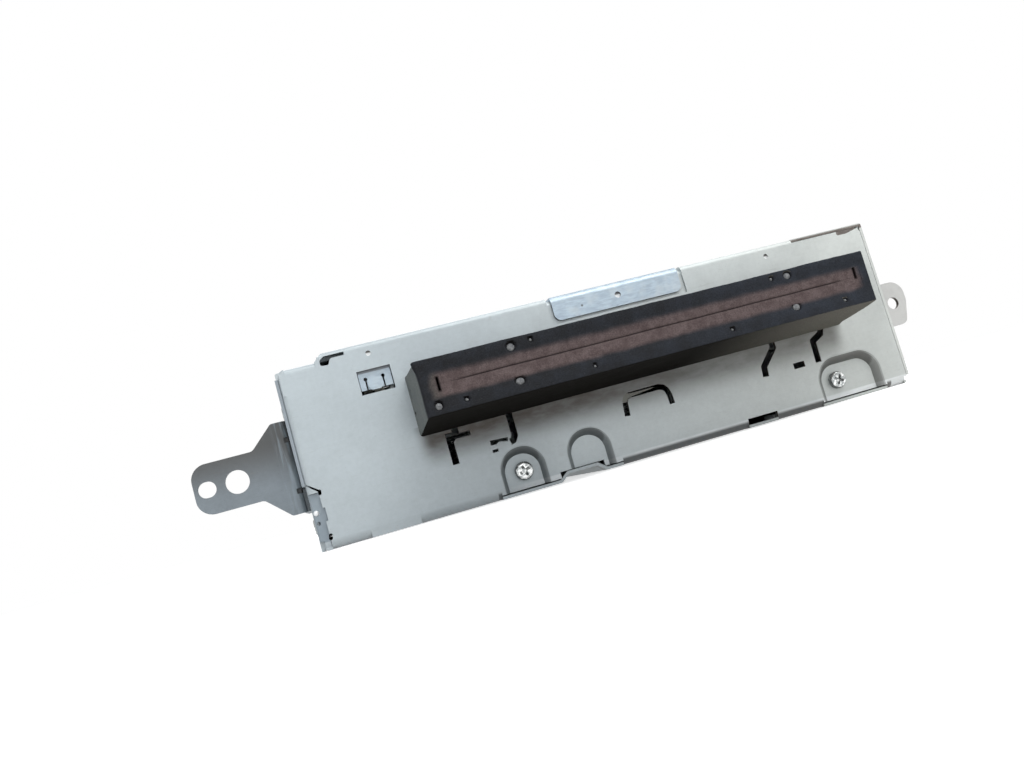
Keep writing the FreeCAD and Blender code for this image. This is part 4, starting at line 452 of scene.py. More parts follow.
def ear_sheet():
    """Left ear: dull dark zinc, darkest towards its top, streaked beside the case, with painted shade in two
    notches and along the line where it meets the case.
    """
    f = Finish("dark_zinc")
    colour, cloud, rubbed = zinc(f, EAR_GREY, EAR_GREY, spread=1.6)
    z = f.part_of(f.place, "Z")
    colour = f.tint(f.span(z, 0.0185, 0.0315), 0.9, colour, (0.072, 0.072, 0.070))
    plate = f.ahead_of(EAR_PLATE_Y)
    streak = f.noise((0.9, 0.9, 9.0), detail=3.0)
    beside = f.times(f.within("X", *EAR_STREAKS_X, 1.0), f.span(streak, 0.45, 0.62), plate)
    colour = f.tint(beside, 0.5, colour, (0.26, 0.31, 0.35))
    # Painted shade in the two notches.
    notch_shade = f.times(f.most(*(f.zone(*dent) for dent in EAR_NOTCH_SHADE)), plate)
    colour = f.tint(notch_shade, 0.9, colour, (0.015, 0.015, 0.015))
    # Painted shade where the plate meets the case.
    seam_shade = f.times(f.within("X", *EAR_SEAM_SHADE_X, 0.2), plate)
    colour = f.tint(seam_shade, 0.7, colour, (0.035, 0.040, 0.042))
    return f.done(Base_Color=colour, Metallic=0.3, Roughness=zinc_roughness(f, cloud, rubbed, 0.45))


def machined(name, colour, rough=0.25, wear=(0.25, 0.22, 0.2)):
    """Plated or turned metal: fine turning lines, light tarnish and small dull spots."""
    f = Finish(name)
    lines = f.noise(0.12, detail=2.0)
    tarnish = f.span(f.noise(1.6, detail=4.0), 0.5, 0.75)
    base = f.tint(tarnish, 0.25, colour, wear)
    f.raise_by(lines, 0.003)
    roughness = f.math("ADD", f.times(tarnish, 0.2), f.span(lines, 0.3, 0.7, rough, rough + 0.1))
    return f.done(Base_Color=base, Metallic=1.0, Roughness=roughness)


def screw_metal():
    """Bright plated screws: blotched, with painted shade on the sides and the cross."""
    f = Finish("bright_screws")
    blotch = f.noise(0.9, detail=3.0)
    fine = f.noise(0.2, detail=2.0)
    base = f.mix(f.span(blotch, 0.42, 0.62), (0.36, 0.38, 0.38), (0.92, 0.93, 0.92))
    # Painted shade on faces turned aside: the head's side and the walls of the cross.
    aside = f.math("ABSOLUTE", f.part_of(f.facing(), "Y"))
    base = f.tint(f.span(aside, 0.75, 0.3), 0.75, base, (0.09, 0.10, 0.10))
    f.raise_by(blotch, 0.05)
    f.raise_by(fine, 0.006)
    return f.done(Base_Color=base, Metallic=0.75, Roughness=f.span(fine, 0.3, 0.7, 0.16, 0.3))


def moulded(name, colour, pale, rough=0.5):
    """Moulded plastic: an eroded grain, a flow cloud and paler rubbed places."""
    f = Finish(name)
    texture = f.noise(0.25, detail=3.0)
    cloud = f.noise(7.0, detail=3.0)
    rubbed = f.span(f.noise(2.2, detail=5.0, rough=0.7), 0.6, 0.75)
    base = f.mix(f.span(cloud, 0.35, 0.7, 0.0, 0.35), colour, pale)
    base = f.tint(rubbed, 0.25, base, pale)
    f.raise_by(texture, 0.012)
    grain = f.span(texture, 0.3, 0.7, rough - 0.06, rough + 0.06)
    roughness = f.math("ADD", grain, f.times(rubbed, 0.1))
    return f.done(Base_Color=base, Roughness=roughness)


def soft_rubber(name, colour, dust, rough=0.75):
    """Rubber with a ground face and some pale dust on it."""
    f = Finish(name)
    texture = f.noise(0.3, detail=4.0)
    dusty = f.span(f.noise(3.0, detail=5.0), 0.45, 0.8)
    base = f.tint(dusty, 0.35, colour, dust)
    f.raise_by(texture, 0.02)
    return f.done(Base_Color=base, Roughness=f.span(texture, 0.3, 0.7, rough - 0.08, rough + 0.08))


def solder_masked_board():
    """Green board: fine raised lines, brighter than the fields between them, and a cloud over all."""
    f = Finish("solder_masked_board")
    x = f.part_of(f.place, "X")
    tracks = f.cells((2.4, 1.1, 2.4), feature="DISTANCE_TO_EDGE")
    cloud = f.noise(9.0, detail=3.0)
    line = f.span(tracks, 0.05, 0.09)
    base = f.mix(line, (0.07, 0.26, 0.12), (0.03, 0.15, 0.07))
    base = f.mix(f.span(cloud, 0.4, 0.7, 0.0, 0.3), base, (0.045, 0.19, 0.085))
    base = f.mix(f.span(x, -0.08, 0.08, 0.0, 0.15), base, (0.05, 0.17, 0.06))
    f.raise_by(f.math("SUBTRACT", 1.0, line), 0.03)
    return f.done(Base_Color=base, Roughness=f.span(cloud, 0.3, 0.7, 0.26, 0.38), Coat_Weight=0.3)


def coated_lens():
    """The pickup's lens: clear, with a faint violet coating."""
    f = Finish("coated_lens")
    cloud = f.noise(0.8, detail=3.0)
    base = f.mix(f.span(cloud, 0.3, 0.7), (0.62, 0.68, 0.92), (0.7, 0.62, 0.95))
    roughness = f.span(cloud, 0.3, 0.7, 0.03, 0.07)
    return f.done(Base_Color=base, Roughness=roughness, Transmission_Weight=0.85, IOR=1.5)


# Foam colours: outside, at its cut right end, painted shade underneath with painted light towards the right,
# then worn near the slit, and painted shade inside the slit and in the holes.
FOAM_DARK = (0.026, 0.027, 0.030)
FOAM_BLUE = (0.037, 0.042, 0.053)
FOAM_END = (0.160, 0.176, 0.178)
FOAM_UNDER_PAINTED_SHADE = (0.0040, 0.0034, 0.0026)
FOAM_UNDER_PAINTED_LIGHT_RIGHT = (0.170, 0.164, 0.145)
PLUM = (0.098, 0.073, 0.073)
PLUM_LIGHT = (0.145, 0.112, 0.111)
PLUM_GREY = (0.095, 0.084, 0.080)
SLIT_PAINTED_SHADE = (0.014, 0.011, 0.011)
FOAM_DUST = (0.10, 0.105, 0.11)
FOAM_HOLE_PAINTED_SHADE = (0.008, 0.008, 0.009)


def foam_skin():
    """Fine-celled foam: blue-black outside, plum-brown where worn near the slit, paler at its cut end, with
    painted shade underneath, in the slit and in the holes, and painted light under its right part.
    """
    f = Finish("foam_skin")
    x = f.part_of(f.place, "X")
    cell = f.cells(0.30)
    fine = f.noise(0.22, detail=3.0)
    cloud = f.noise(5.0, detail=5.0, rough=0.6)
    worn = f.attribute("worn")
    blueness = f.math("ADD", f.span(x, -0.03, 0.07, -0.1, 0.45), f.span(cloud, 0.3, 0.7, 0.0, 0.6))
    dark = f.mix(blueness, FOAM_DARK, FOAM_BLUE)
    dust = f.span(f.noise(0.35, detail=2.0), 0.66, 0.76)
    dark = f.tint(dust, 0.35, dark, FOAM_DUST)
    face = f.facing()
    end = f.span(f.part_of(face, "X"), -0.3, -0.75)
    pale_end = f.times(end, f.span(f.part_of(f.place, "Y"), -0.1050, -0.1015))
    dark = f.mix(pale_end, dark, f.mix(f.span(cloud, 0.35, 0.65), FOAM_END, (0.185, 0.20, 0.195)))
    # Painted shade underneath, with painted light towards the right.
    under = f.span(f.part_of(face, "Z"), -0.3, -0.75)
    dark = f.mix(under, dark, f.mix(f.span(x, 0.015, 0.064), FOAM_UNDER_PAINTED_SHADE, FOAM_UNDER_PAINTED_LIGHT_RIGHT))
    patchy = f.noise(2.4, detail=5.0, rough=0.65)
    plum = f.mix(f.span(patchy, 0.3, 0.7), PLUM, PLUM_LIGHT)
    plum = f.mix(f.span(x, -0.0505, -0.0535), plum, PLUM_GREY)
    edge = f.span(f.math("ADD", worn, f.span(cloud, 0.3, 0.7, -0.08, 0.08)), 0.08, 0.92)
    colour = f.mix(edge, dark, plum)
    # Painted shade in the slit and the lips' cuts, then in the holes and end cuts.
    colour = f.mix(f.attribute("slit"), colour, SLIT_PAINTED_SHADE)
    colour = f.mix(f.attribute("pit"), colour, FOAM_HOLE_PAINTED_SHADE)
    tone = f.math("ADD", f.span(cell, 0.1, 0.7, 1.10, 0.90), f.span(fine, 0.35, 0.65, -0.14, 0.14))
    colour = f.shade(colour, tone)
    f.raise_by(cell, 0.05)
    f.raise_by(fine, 0.03)
    f.raise_by(cloud, 0.06)
    return f.done(Base_Color=colour, Roughness=0.95, Specular_IOR_Level=0.06)


def pore_filling():
    """Pale grey matter that shows in the foam's holes."""
    f = Finish("pore_filling")
    cloud = f.noise(0.7, detail=4.0)
    base = f.mix(f.span(cloud, 0.3, 0.7), (0.12, 0.125, 0.135), (0.24, 0.245, 0.25))
    f.raise_by(cloud, 0.05)
    return f.done(Base_Color=base, Roughness=0.85)


def paint(node, material):
    """The node's material, by its object's slots; its mesh stays as it is."""
    thing = frame["nodes"][node]
    for slot in thing.material_slots:
        slot.link = "OBJECT"
        slot.material = material


def lines(points, step):
    """Lattice lines through the given places, with no gap between them over one step."""
    made = [points[0]]
    for a, b in zip(points, points[1:]):
        count = max(1, math.ceil((b - a) / step - 1e-6))
        made += [a + (b - a) * (i + 1) / count for i in range(count)]
    return np.array(made)


def lattice_skin(xs, ys, zs, filled):
    """The closed skin of the filled cells of a lattice, as vertex places and quads."""
    full = np.pad(filled, 1)
    quads = []
    count = (len(xs), len(ys), len(zs))
    for axis in range(3):
        step = np.diff(full.astype(np.int8), axis=axis)
        for sign in (1, -1):
            found = np.argwhere(step == sign)
            across, along = [(1, 2), (2, 0), (0, 1)][axis]
            corners = []
            for da, db in ((0, 0), (1, 0), (1, 1), (0, 1)):
                corner = found.copy()
                corner[:, across] += da - 1
                corner[:, along] += db - 1
                corners.append(corner)
            if sign == 1:
                corners.reverse()
            quads.append(np.stack(corners, 1))
    quads = np.concatenate(quads)
    flat = np.ravel_multi_index(quads.reshape(-1, 3).T, count)
    used, index = np.unique(flat, return_inverse=True)
    i, j, k = np.unravel_index(used, count)
    places = np.stack([xs[i], ys[j], zs[k]], 1)
    return places, index.reshape(-1, 4)


def mesh_object(name, places, faces, material):
    """A smooth-shaded mesh from places in millimetres."""
    mesh = bpy.data.meshes.new(name)
    mesh.from_pydata([tuple(p * MM) for p in places], [], [tuple(int(i) for i in f) for f in faces])
    mesh.materials.append(material)
    mesh.polygons.foreach_set("use_smooth", [True] * len(mesh.polygons))
    mesh.update()
    thing = bpy.data.objects.new(name, mesh)
    bpy.context.scene.collection.objects.link(thing)
    return thing


def note(thing, name, values):
    """A number for each vertex, which the material reads."""
    layer = thing.data.attributes.new(name, "FLOAT", "POINT")
    layer.data.foreach_set("value", np.asarray(values, np.float32))


def ease(value, low, high):
    """Nought below low, one above high, with soft bends between."""
    t = np.clip((value - low) / (high - low), 0.0, 1.0)
    return t * t * (3.0 - 2.0 * t)


def ripple(places, size, seed):
    """Smooth noise from -1 to 1 at each place, with features of the given size."""
    shift = Vector((seed * 7.3, seed * 3.1, seed * 5.7))
    return np.array([noise.noise(Vector(p) / size + shift) for p in places])


# Foam block, in millimetres. It narrows from its foot on the panel to its front face.
FOOT_Y = -80.0
FACE_Y = -105.6
FACE_X = (-56.4, 67.8)
FACE_Z = (23.9, 38.15)
FOOT_X = (-56.4, 71.8)
FOOT_Z = (21.8, 38.6)

# The window that the lips fill, the slit between them, and the room behind the block's front wall.
WINDOW_X = (-54.2, 65.6)
WINDOW_Z = (28.4, 34.1)
SLIT_Z = 31.4
ROOM_X = (-54.8, 66.2)
ROOM_Y = (-104.5, -99.2)
ROOM_Z = (26.2, 36.4)

# Lattice size, rounding of the outer edges, and how the front sinks round the window.
FOAM_CELL = 0.4
FOAM_CELL_DEEP = 0.8
FOAM_ROUND = 0.8
FEATHER = 2.6
FEATHER_DEPTH = 0.5
FEATHER_BACK = 0.28
FEATHER_BACK_REACH = 0.75

# Depths of the holes, of the cuts in the left end and of the flattened upper left front corner.
PORE_DEPTH = 0.7
CUT_DEPTH = 0.5
CUT_HALF_WIDTH = 0.55
CORNER_DEPTH = 0.75

# Unevenness of the foam: feature size, seed and height of each ripple, and how far they lie inside.
FOAM_RIPPLES = [(1.1, 1, 0.04), (0.45, 2, 0.03), (7.0, 3, 0.12)]
FOAM_SETBACK = 0.16

# Holes in the foam's front: centre x, centre z, radius across, radius up.
PORES = [
    (-32.2, 36.0, 1.35, 1.25),
    (-32.2, 27.3, 1.45, 1.15),
    (44.8, 36.4, 1.25, 1.15),
    (44.8, 27.8, 1.35, 1.25),
    (-27.0, 36.5, 0.7, 0.7),
    (40.0, 36.5, 0.7, 0.75),
    (-46.1, 26.2, 0.75, 0.7),
    (-12.9, 26.1, 0.6, 0.6),
    (25.3, 26.2, 0.7, 0.65),
    (58.9, 26.2, 0.75, 0.7),
    (-53.0, 26.3, 1.15, 1.2),
]

# Short cuts in the left end face, dark with painted shade: centre y, centre z, half height.
END_CUTS = [(-82.4, 33.0, 1.3), (-82.0, 27.9, 0.5)]


def wear(places):
    """How far the foam's front is worn to plum-brown: a soft band along the slit."""
    x, z = places[:, 0], places[:, 2]
    uneven = ripple(places * (0.35, 0.0, 1.0), 1.6, 11)
    x = x + 0.8 * uneven
    z = z + 0.2 * uneven
    band = ease(z, 27.0, 29.4) * (1.0 - ease(z, 32.3, 35.5))
    return band * ease(x, -55.6, -52.6) * (1.0 - ease(x, 62.8, 67.2))


def slit_length(x):
    """One where the slit stands a little open, falling to nothing towards both ends."""
    return ease(x, -50.0, -44.0) * (1.0 - ease(x, 57.0, 61.0))


def foam_taper(places):
    """Draws the block in from its foot to its front, without moving its window."""
    x, y, z = places.T
    t = (FOOT_Y - y) / (FOOT_Y - FACE_Y)
    out_x = np.clip((x - ROOM_X[1]) / (FOOT_X[1] - ROOM_X[1]), 0.0, 1.0)
    out_high = np.clip((z - ROOM_Z[1]) / (FOOT_Z[1] - ROOM_Z[1]), 0.0, 1.0)
    out_low = np.clip((ROOM_Z[0] - z) / (ROOM_Z[0] - FOOT_Z[0]), 0.0, 1.0)
    x = x + out_x * t * (FACE_X[1] - FOOT_X[1])
    z = z + out_high * t * (FACE_Z[1] - FOOT_Z[1]) + out_low * t * (FACE_Z[0] - FOOT_Z[0])
    return np.stack([x, y, z], 1)


def rounded(places, low, high, radius):
    """Points on the outside of a box go onto the same box with rounded edges."""
    inner = np.clip(places, low + radius, high - radius)
    away = places - inner
    length = np.linalg.norm(away, axis=1)
    outside = (length > 1e-9) & (np.count_nonzero(np.abs(away) > 1e-9, axis=1) > 1)
    result = places.copy()
    result[outside] = (inner + away * (radius / np.maximum(length, 1e-9))[:, None])[outside]
    return result


def foam_lattice():
    """Lattice of the block with its window and the room behind its front wall left out."""
    xs = lines([FOOT_X[0], ROOM_X[0], WINDOW_X[0], WINDOW_X[1], ROOM_X[1], FOOT_X[1]], FOAM_CELL)
    ys = lines([FACE_Y, ROOM_Y[0], ROOM_Y[1], FOOT_Y], FOAM_CELL_DEEP)
    zs = lines([FOOT_Z[0], ROOM_Z[0], WINDOW_Z[0], WINDOW_Z[1], ROOM_Z[1], FOOT_Z[1]], FOAM_CELL)
    mid_x = (xs[1:] + xs[:-1])[:, None, None] / 2
    mid_y = (ys[1:] + ys[:-1])[None, :, None] / 2
    mid_z = (zs[1:] + zs[:-1])[None, None, :] / 2
    window_x = (mid_x > WINDOW_X[0]) & (mid_x < WINDOW_X[1])
    window_z = (mid_z > WINDOW_Z[0]) & (mid_z < WINDOW_Z[1])
    room_x = (mid_x > ROOM_X[0]) & (mid_x < ROOM_X[1])
    room_z = (mid_z > ROOM_Z[0]) & (mid_z < ROOM_Z[1])
    window = window_x & window_z & (mid_y < ROOM_Y[0])
    room = room_x & room_z & (mid_y > ROOM_Y[0]) & (mid_y < ROOM_Y[1])
    passage = room_x & window_z & (mid_y > ROOM_Y[1])
    return lattice_skin(xs, ys, zs, ~(window | room | passage))


def foam_block(material):
    """The foam block with its feathered window, the room behind its front wall, and the holes in its face."""
    places, faces = foam_lattice()
    low = np.array([FOOT_X[0], FACE_Y, FOOT_Z[0]])
    high = np.array([FOOT_X[1], FOOT_Y + 5.0, FOOT_Z[1]])
    near_low = np.abs(places - low) < 1e-6
    near_high = np.abs(places - high) < 1e-6
    skin = np.any(near_low | near_high, axis=1)
    front = near_low[:, 1]
    room_front = np.abs(places[:, 1] - ROOM_Y[0]) < 1e-6
    places = np.where(skin[:, None], rounded(places, low, high, FOAM_ROUND), places)
    places = foam_taper(places)
    x, z = places[:, 0], places[:, 2]
    gap = np.maximum(np.maximum(z - WINDOW_Z[1], WINDOW_Z[0] - z), 0.0)
    side = np.maximum(np.maximum(WINDOW_X[0] - x, x - WINDOW_X[1]), 0.0)
    reach = np.hypot(gap, side)
    sink = 1.0 - ease(reach, 0.0, FEATHER)
    places[:, 1] += np.where(front, sink * FEATHER_DEPTH, 0.0)
    places[:, 1] += np.where(room_front & (reach < FEATHER_BACK_REACH), FEATHER_BACK, 0.0)
    pit = np.zeros(len(places))
    for cx, cz, rx, rz in PORES:
        away = np.hypot((x - cx) / rx, (z - cz) / rz)
        pit = np.maximum(pit, 1.0 - ease(away, 0.72, 1.12))
    pit *= front
    places[:, 1] += pit * PORE_DEPTH
    normal = near_high.astype(float) - near_low
    normal /= np.maximum(np.linalg.norm(normal, axis=1), 1.0)[:, None]
    rough = sum(ripple(places, size, seed) * height for size, seed, height in FOAM_RIPPLES)
    foot = np.clip((FOOT_Y - places[:, 1]) / 1.5, 0.0, 1.0)
    calm = np.where(front, 1.0 - sink, 1.0)
    places += normal * ((rough - FOAM_SETBACK) * foot * calm)[:, None]
    corner = ease(z, 34.0, 38.0) * ease(-places[:, 1], 102.2, 104.2) * ease(-x, 54.5, 56.2)
    places[:, 0] -= CORNER_DEPTH * corner
    left = near_low[:, 0]
    slash = np.zeros(len(places))
    for cy, cz, half in END_CUTS:
        away = np.hypot((places[:, 1] - cy) / CUT_HALF_WIDTH, (z - cz) / half)
        slash = np.maximum(slash, 1.0 - ease(away, 0.6, 1.1))
    slash *= left
    places[:, 0] += CUT_DEPTH * slash
    thing = mesh_object("foam_seal", places, faces, material)
    thing.data.set_sharp_from_angle(angle=math.radians(55.0))
    note(thing, "worn", np.where(front, wear(places), 0.0))
    note(thing, "slit", np.zeros(len(places)))
    # The holes and end cuts get painted shade.
    note(thing, "pit", np.maximum(pit, slash))
    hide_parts("dust_seal")
    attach(thing, "case")
    return thing


# Domes in the holes: how deep their top, their fall towards the rim and their back lie behind the face.
PLUG_TOP = 0.33
PLUG_FALL = 0.45
PLUG_BACK = 0.80
SMALL_PORE = 0.9


def pore_plugs(material):
    """The pale matter in the holes: low domes that sit a little below each hole's middle."""
    places = []
    faces = []
    rings = 5
    around = 20
    for cx, cz, rx, rz in PORES:
        first = len(places)
        share = 0.62 if rx < SMALL_PORE else 0.80
        # The dome sits low, so the hole's painted shade shows above it.
        cx -= 0.10 * rx
        cz -= 0.20 * rz
        places.append((cx, FACE_Y + PLUG_TOP, cz))
        for r in range(1, rings + 1):
            for a in range(around):
                turn = 2 * math.pi * a / around
                wobble = 1.0 + 0.08 * noise.noise(Vector((cx + math.cos(turn), cz + math.sin(turn), 4.0)))
                out = share * wobble * r / rings
                y = FACE_Y + (PLUG_TOP + PLUG_FALL * (r / rings) ** 3)
                places.append((cx + rx * out * math.cos(turn), y, cz + rz * out * math.sin(turn)))
        for a in range(around):
            b = (a + 1) % around
            faces.append((first, first + 1 + a, first + 1 + b))
            for r in range(rings - 1):
                start = first + 1 + r * around
                faces.append((start + a, start + around + a, start + around + b, start + b))
        back = len(places)
        places.append((cx, FACE_Y + PLUG_BACK, cz))
        last = first + 1 + (rings - 1) * around
        for a in range(around):
            faces.append((back, last + (a + 1) % around, last + a))
    thing = mesh_object("foam_pore_plugs", np.array(places), faces, material)
    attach(thing, "case")
    return thing


# Short cuts near both ends of the lips: place x, width, and how far they reach above and below the slit.
LIP_CUTS = [(-51.85, 0.55, 1.75, 1.6), (64.0, 0.6, 2.9, 0.3)]

# Lattice size of the lips along x, y and z, and how far their front stands out.
LIP_CELL = (0.35, 0.3, 0.21)
LIP_PROUD = 0.86


def lip(name, node, low, high, material, up):
    """One lip of the slit: a soft strip, thick at its root, thin at its edge and cut near both ends."""
    x0, y0, z0 = low / MM
    x1, y1, z1 = high / MM
    root, edge = (z1, z0) if up else (z0, z1)
    toward = 1.0 if up else -1.0
    stops = [x0]
    ends = []
    for place, width, above, below in LIP_CUTS:
        stops += [place - width / 2, place + width / 2]
        ends.append(SLIT_Z + toward * (above if up else below))
    xs = lines(stops + [x1], LIP_CELL[0])
    ys = lines([y0, y1], LIP_CELL[1])
    frame_edge = WINDOW_Z[1] if up else WINDOW_Z[0]
    zs = lines(sorted([root, edge, frame_edge, frame_edge + 0.05 * toward] + ends), LIP_CELL[2])
    mid_x = (xs[1:] + xs[:-1])[:, None, None] / 2
    mid_y = (ys[1:] + ys[:-1])[None, :, None] / 2
    mid_z = (zs[1:] + zs[:-1])[None, None, :] / 2
    cut = np.zeros(np.broadcast_shapes(mid_x.shape, mid_y.shape, mid_z.shape), bool)
    for (place, width, _, _), end in zip(LIP_CUTS, ends):
        cut |= (np.abs(mid_x - place) < width / 2) & ((mid_z - end) * toward < 0.0) & (mid_y < 0.0)
    places, faces = lattice_skin(xs, ys, zs, ~cut)
    x, y, z = places.T
    along = np.abs(z - root) / abs(edge - root)
    depth = (y - y0) / (y1 - y0)
    opened = slit_length(x)
    swell = ripple(np.stack([x, y * 0.0, z], 1), 3.1, 5) * 0.05 * ease(along, 0.25, 0.5)
    groove = 0.08 * ease(along, 0.3, 0.9) + 0.22 * opened * ease(along, 0.86, 1.0) ** 2
    proud = LIP_PROUD * ((frame_edge - z) * toward > -0.01)
    y = y + (groove + swell - proud) * (1.0 - depth)
    wander = ripple(np.stack([x, y * 0.0, z * 0.0], 1), 9.0, 6) * 0.10
    z = z + ease(along, 0.6, 1.0) * (wander - 0.085 * toward)
    places = np.stack([x, y, z], 1)
    thing = mesh_object(name, places, faces, material)
    thing.data.set_sharp_from_angle(angle=math.radians(50.0))
    # Painted shade at the lips' edges where the slit opens, and in and beside the cuts.
    dark = np.zeros(len(places))
    for (place, width, _, _), end in zip(LIP_CUTS, ends):
        near = 1.0 - ease(np.abs(x - place), width / 2, width / 2 + 0.4)
        short = 1.0 - ease((z - end) * toward, 0.0, 0.5)
        dark = np.maximum(dark, near * short)
    note(thing, "worn", wear(places))
    note(thing, "slit", np.maximum(ease(along, 0.925, 1.0) * (0.1 + 0.8 * opened), dark * 0.85))
    note(thing, "pit", np.zeros(len(places)))
    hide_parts(node)
    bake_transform(thing)
    return thing


def deck_springs(material):
    """The coil springs under the floating deck: they stand on the mech's floor."""
    mesh = frame["nodes"]["deck_springs"].data.copy()
    mesh.materials.clear()
    mesh.materials.append(material)
    thing = bpy.data.objects.new("sprung_coils", mesh)
    bpy.context.scene.collection.objects.link(thing)
    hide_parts("deck_springs")
    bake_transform(thing)


def finishes():
    """A finish for each material slot, and for the nodes that have one of their own."""
    plain = plain_sheet("galvanised_sheet", (0.46, 0.50, 0.51), (0.50, 0.52, 0.51))
    ear = plain_sheet("galvanised_ear", (0.50, 0.51, 0.50), (0.52, 0.52, 0.51), cut_y=-70.9)
    rods = machined("ground_rods", (0.62, 0.62, 0.63), rough=0.16)
    wire = machined("drawn_wire", (0.45, 0.45, 0.46), rough=0.32)
    brass = machined("turned_brass", (0.66, 0.47, 0.20), rough=0.28, wear=(0.30, 0.18, 0.07))
    gold = machined("plated_pins", (0.80, 0.58, 0.22), rough=0.2, wear=(0.45, 0.30, 0.10))
    can = machined("drawn_cans", (0.72, 0.73, 0.74), rough=0.3)
    black = moulded("black_moulding", (0.018, 0.018, 0.020), (0.05, 0.05, 0.052))
    white = moulded("white_moulding", (0.72, 0.70, 0.64), (0.80, 0.79, 0.74), rough=0.4)
    grey = moulded("grey_moulding", (0.16, 0.165, 0.17), (0.24, 0.245, 0.25), rough=0.45)
    rubber = soft_rubber("ground_rubber", (0.02, 0.02, 0.021), (0.16, 0.15, 0.14))
    damper = soft_rubber("damper_rubber", (0.028, 0.028, 0.034), (0.10, 0.10, 0.11), rough=0.6)
    kinds = {
        "galvanised": plain,
        "blue_zinc": cover_sheet(),
        "dark_zinc": ear_sheet(),
        "bright_steel": screw_metal(),
        "board_green": solder_masked_board(),
        "black_plastic": black,
        "white_plastic": white,
        "grey_plastic": grey,
        "can_aluminium": can,
        "pin_gold": gold,
        "brass": brass,
        "roller_rubber": rubber,
        "polished_steel": rods,
        "spring_steel": wire,
        "damper_rubber": damper,
        "lens_glass": coated_lens(),
    }
    return kinds, {"chassis_shell": panel_sheet(), "bottom_cover": floor_sheet(), "right_bracket": ear}


# Strength of the world's light at the horizon and high up, and the floor's bounce colour and own glow.
SKY_LOW = 0.45
SKY_HIGH = 0.9
FLOOR_SHADE = (0.60, 0.58, 0.56)
FLOOR_GLOW = 0.62


def white_world():
    """White behind everything, and a soft light on the object that is stronger from above."""
    world = bpy.data.worlds.new("studio")
    world.use_nodes = True
    tree = world.node_tree
    tree.nodes.clear()
    path = tree.nodes.new("ShaderNodeLightPath")
    seen = tree.nodes.new("ShaderNodeMath")
    seen.operation = "ADD"
    also = tree.nodes.new("ShaderNodeMath")
    also.operation = "ADD"
    also.use_clamp = True
    tree.links.new(path.outputs["Is Camera Ray"], seen.inputs[0])
    tree.links.new(path.outputs["Is Glossy Ray"], seen.inputs[1])
    tree.links.new(seen.outputs[0], also.inputs[0])
    tree.links.new(path.outputs["Is Transmission Ray"], also.inputs[1])
    even = tree.nodes.new("ShaderNodeBackground")
    even.inputs["Color"].default_value = (0.95, 0.98, 1.0, 1.0)
    way = tree.nodes.new("ShaderNodeTexCoord")
    apart = tree.nodes.new("ShaderNodeSeparateXYZ")
    sky = tree.nodes.new("ShaderNodeMapRange")
    sky.inputs["From Min"].default_value = 0.0
    sky.inputs["From Max"].default_value = 0.8
    sky.inputs["To Min"].default_value = SKY_LOW
    sky.inputs["To Max"].default_value = SKY_HIGH
    tree.links.new(way.outputs["Generated"], apart.inputs[0])
    tree.links.new(apart.outputs["Z"], sky.inputs["Value"])
    tree.links.new(sky.outputs["Result"], even.inputs["Strength"])
    white = tree.nodes.new("ShaderNodeBackground")
    white.inputs["Strength"].default_value = 1.0
    white.inputs["Color"].default_value = (1.0, 1.0, 1.0, 1.0)
    either = tree.nodes.new("ShaderNodeMixShader")
    output = tree.nodes.new("ShaderNodeOutputWorld")
    tree.links.new(also.outputs[0], either.inputs[0])
    tree.links.new(even.outputs[0], either.inputs[1])
    tree.links.new(white.outputs[0], either.inputs[2])
    tree.links.new(either.outputs[0], output.inputs["Surface"])
    bpy.context.scene.world = world


def lamp(name, place, size, power, colour):
    """A square soft lamp that looks at the object's front."""
    data = bpy.data.lights.new(name, "AREA")
    data.shape = "SQUARE"
    data.size = size
    data.energy = power
    data.color = colour
    thing = bpy.data.objects.new(name, data)
    thing.location = place
    aim = LAMP_AIM - thing.location
    thing.rotation_euler = aim.to_track_quat("-Z", "Y").to_euler()
    bpy.context.scene.collection.objects.link(thing)


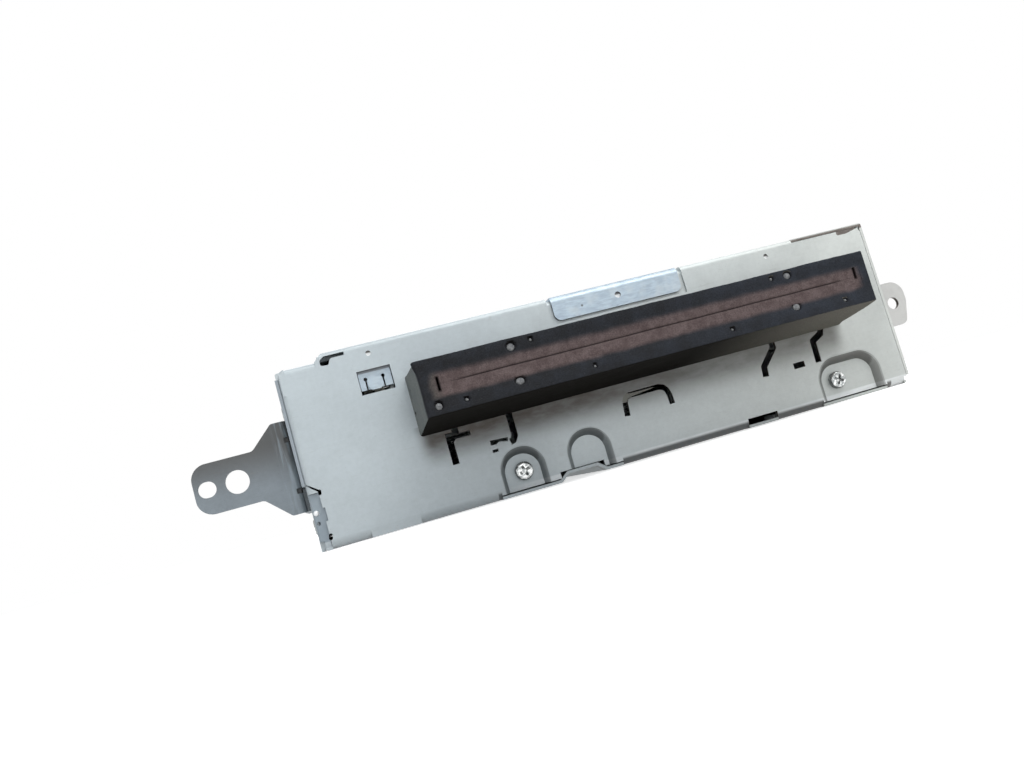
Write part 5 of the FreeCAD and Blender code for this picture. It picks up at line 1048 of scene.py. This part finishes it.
def floor_finish():
    """Pale floor: white to the camera and in reflections, with the shadow kept, and a duller bounce."""
    material = bpy.data.materials.new("pale_floor")
    material.use_nodes = True
    tree = material.node_tree
    tree.nodes.clear()
    path = tree.nodes.new("ShaderNodeLightPath")
    seen = tree.nodes.new("ShaderNodeMath")
    seen.operation = "ADD"
    seen.use_clamp = True
    tree.links.new(path.outputs["Is Camera Ray"], seen.inputs[0])
    tree.links.new(path.outputs["Is Glossy Ray"], seen.inputs[1])
    matt = tree.nodes.new("ShaderNodeBsdfDiffuse")
    grain = tree.nodes.new("ShaderNodeTexNoise")
    grain.inputs["Scale"].default_value = 40.0
    ramp = tree.nodes.new("ShaderNodeMapRange")
    ramp.inputs["To Min"].default_value = 0.80
    ramp.inputs["To Max"].default_value = 0.82
    tree.links.new(grain.outputs["Fac"], ramp.inputs["Value"])
    tree.links.new(ramp.outputs["Result"], matt.inputs["Color"])
    glow = tree.nodes.new("ShaderNodeEmission")
    glow.inputs["Strength"].default_value = FLOOR_GLOW
    both = tree.nodes.new("ShaderNodeAddShader")
    tree.links.new(matt.outputs[0], both.inputs[0])
    tree.links.new(glow.outputs[0], both.inputs[1])
    dull = tree.nodes.new("ShaderNodeBsdfDiffuse")
    dull.inputs["Color"].default_value = (*FLOOR_SHADE, 1.0)
    either = tree.nodes.new("ShaderNodeMixShader")
    tree.links.new(seen.outputs[0], either.inputs[0])
    tree.links.new(dull.outputs[0], either.inputs[1])
    tree.links.new(both.outputs[0], either.inputs[2])
    output = tree.nodes.new("ShaderNodeOutputMaterial")
    tree.links.new(either.outputs[0], output.inputs["Surface"])
    return material


# Floor: half its width and its height, in metres. Lamps: name, place, size, power and colour.
FLOOR_HALF = 6.0
FLOOR_HEIGHT = -0.0001
LAMP_AIM = Vector((0.0, -0.07, 0.03))
LAMPS = [
    ("key_lamp", (0.25, -0.50, 0.80), 0.6, 4.4, (1.0, 0.99, 0.97)),
    ("fill_lamp", (-0.1, -0.95, 0.30), 0.5, 1.0, (0.95, 0.98, 1.0)),
    ("back_lamp", (0.1, 0.8, 0.8), 0.6, 2.0, (1.0, 1.0, 1.0)),
]


def studio():
    """Floor, world and soft lamps."""
    mesh = bpy.data.meshes.new("floor")
    signs = ((-1, -1), (1, -1), (1, 1), (-1, 1))
    corners = [(a * FLOOR_HALF, b * FLOOR_HALF, FLOOR_HEIGHT) for a, b in signs]
    mesh.from_pydata(corners, [], [(0, 1, 2, 3)])
    mesh.materials.append(floor_finish())
    floor = bpy.data.objects.new("floor", mesh)
    bpy.context.scene.collection.objects.link(floor)
    white_world()
    for name, place, size, power, colour in LAMPS:
        lamp(name, place, size, power, colour)
    bpy.context.scene.view_settings.view_transform = "Standard"


def main():
    """Everything in the scene: camera, finishes on the CAD nodes, foam, lips, springs and studio."""
    camera()
    kinds, special = finishes()
    for part in frame["record"]["subparts"]:
        node, slot = part["node"], part["material_slot"]
        if slot not in ("foam", "lip_foam") and node != "deck_springs":
            paint(node, special.get(node, kinds[slot]))
    skin = foam_skin()
    foam_block(skin)
    pore_plugs(pore_filling())
    lip("seal_upper_lip", "upper_lip", UPPER_LOW, UPPER_HIGH, skin, True)
    lip("seal_lower_lip", "lower_lip", LOWER_LOW, LOWER_HIGH, skin, False)
    deck_springs(kinds["spring_steel"])
    studio()


main()
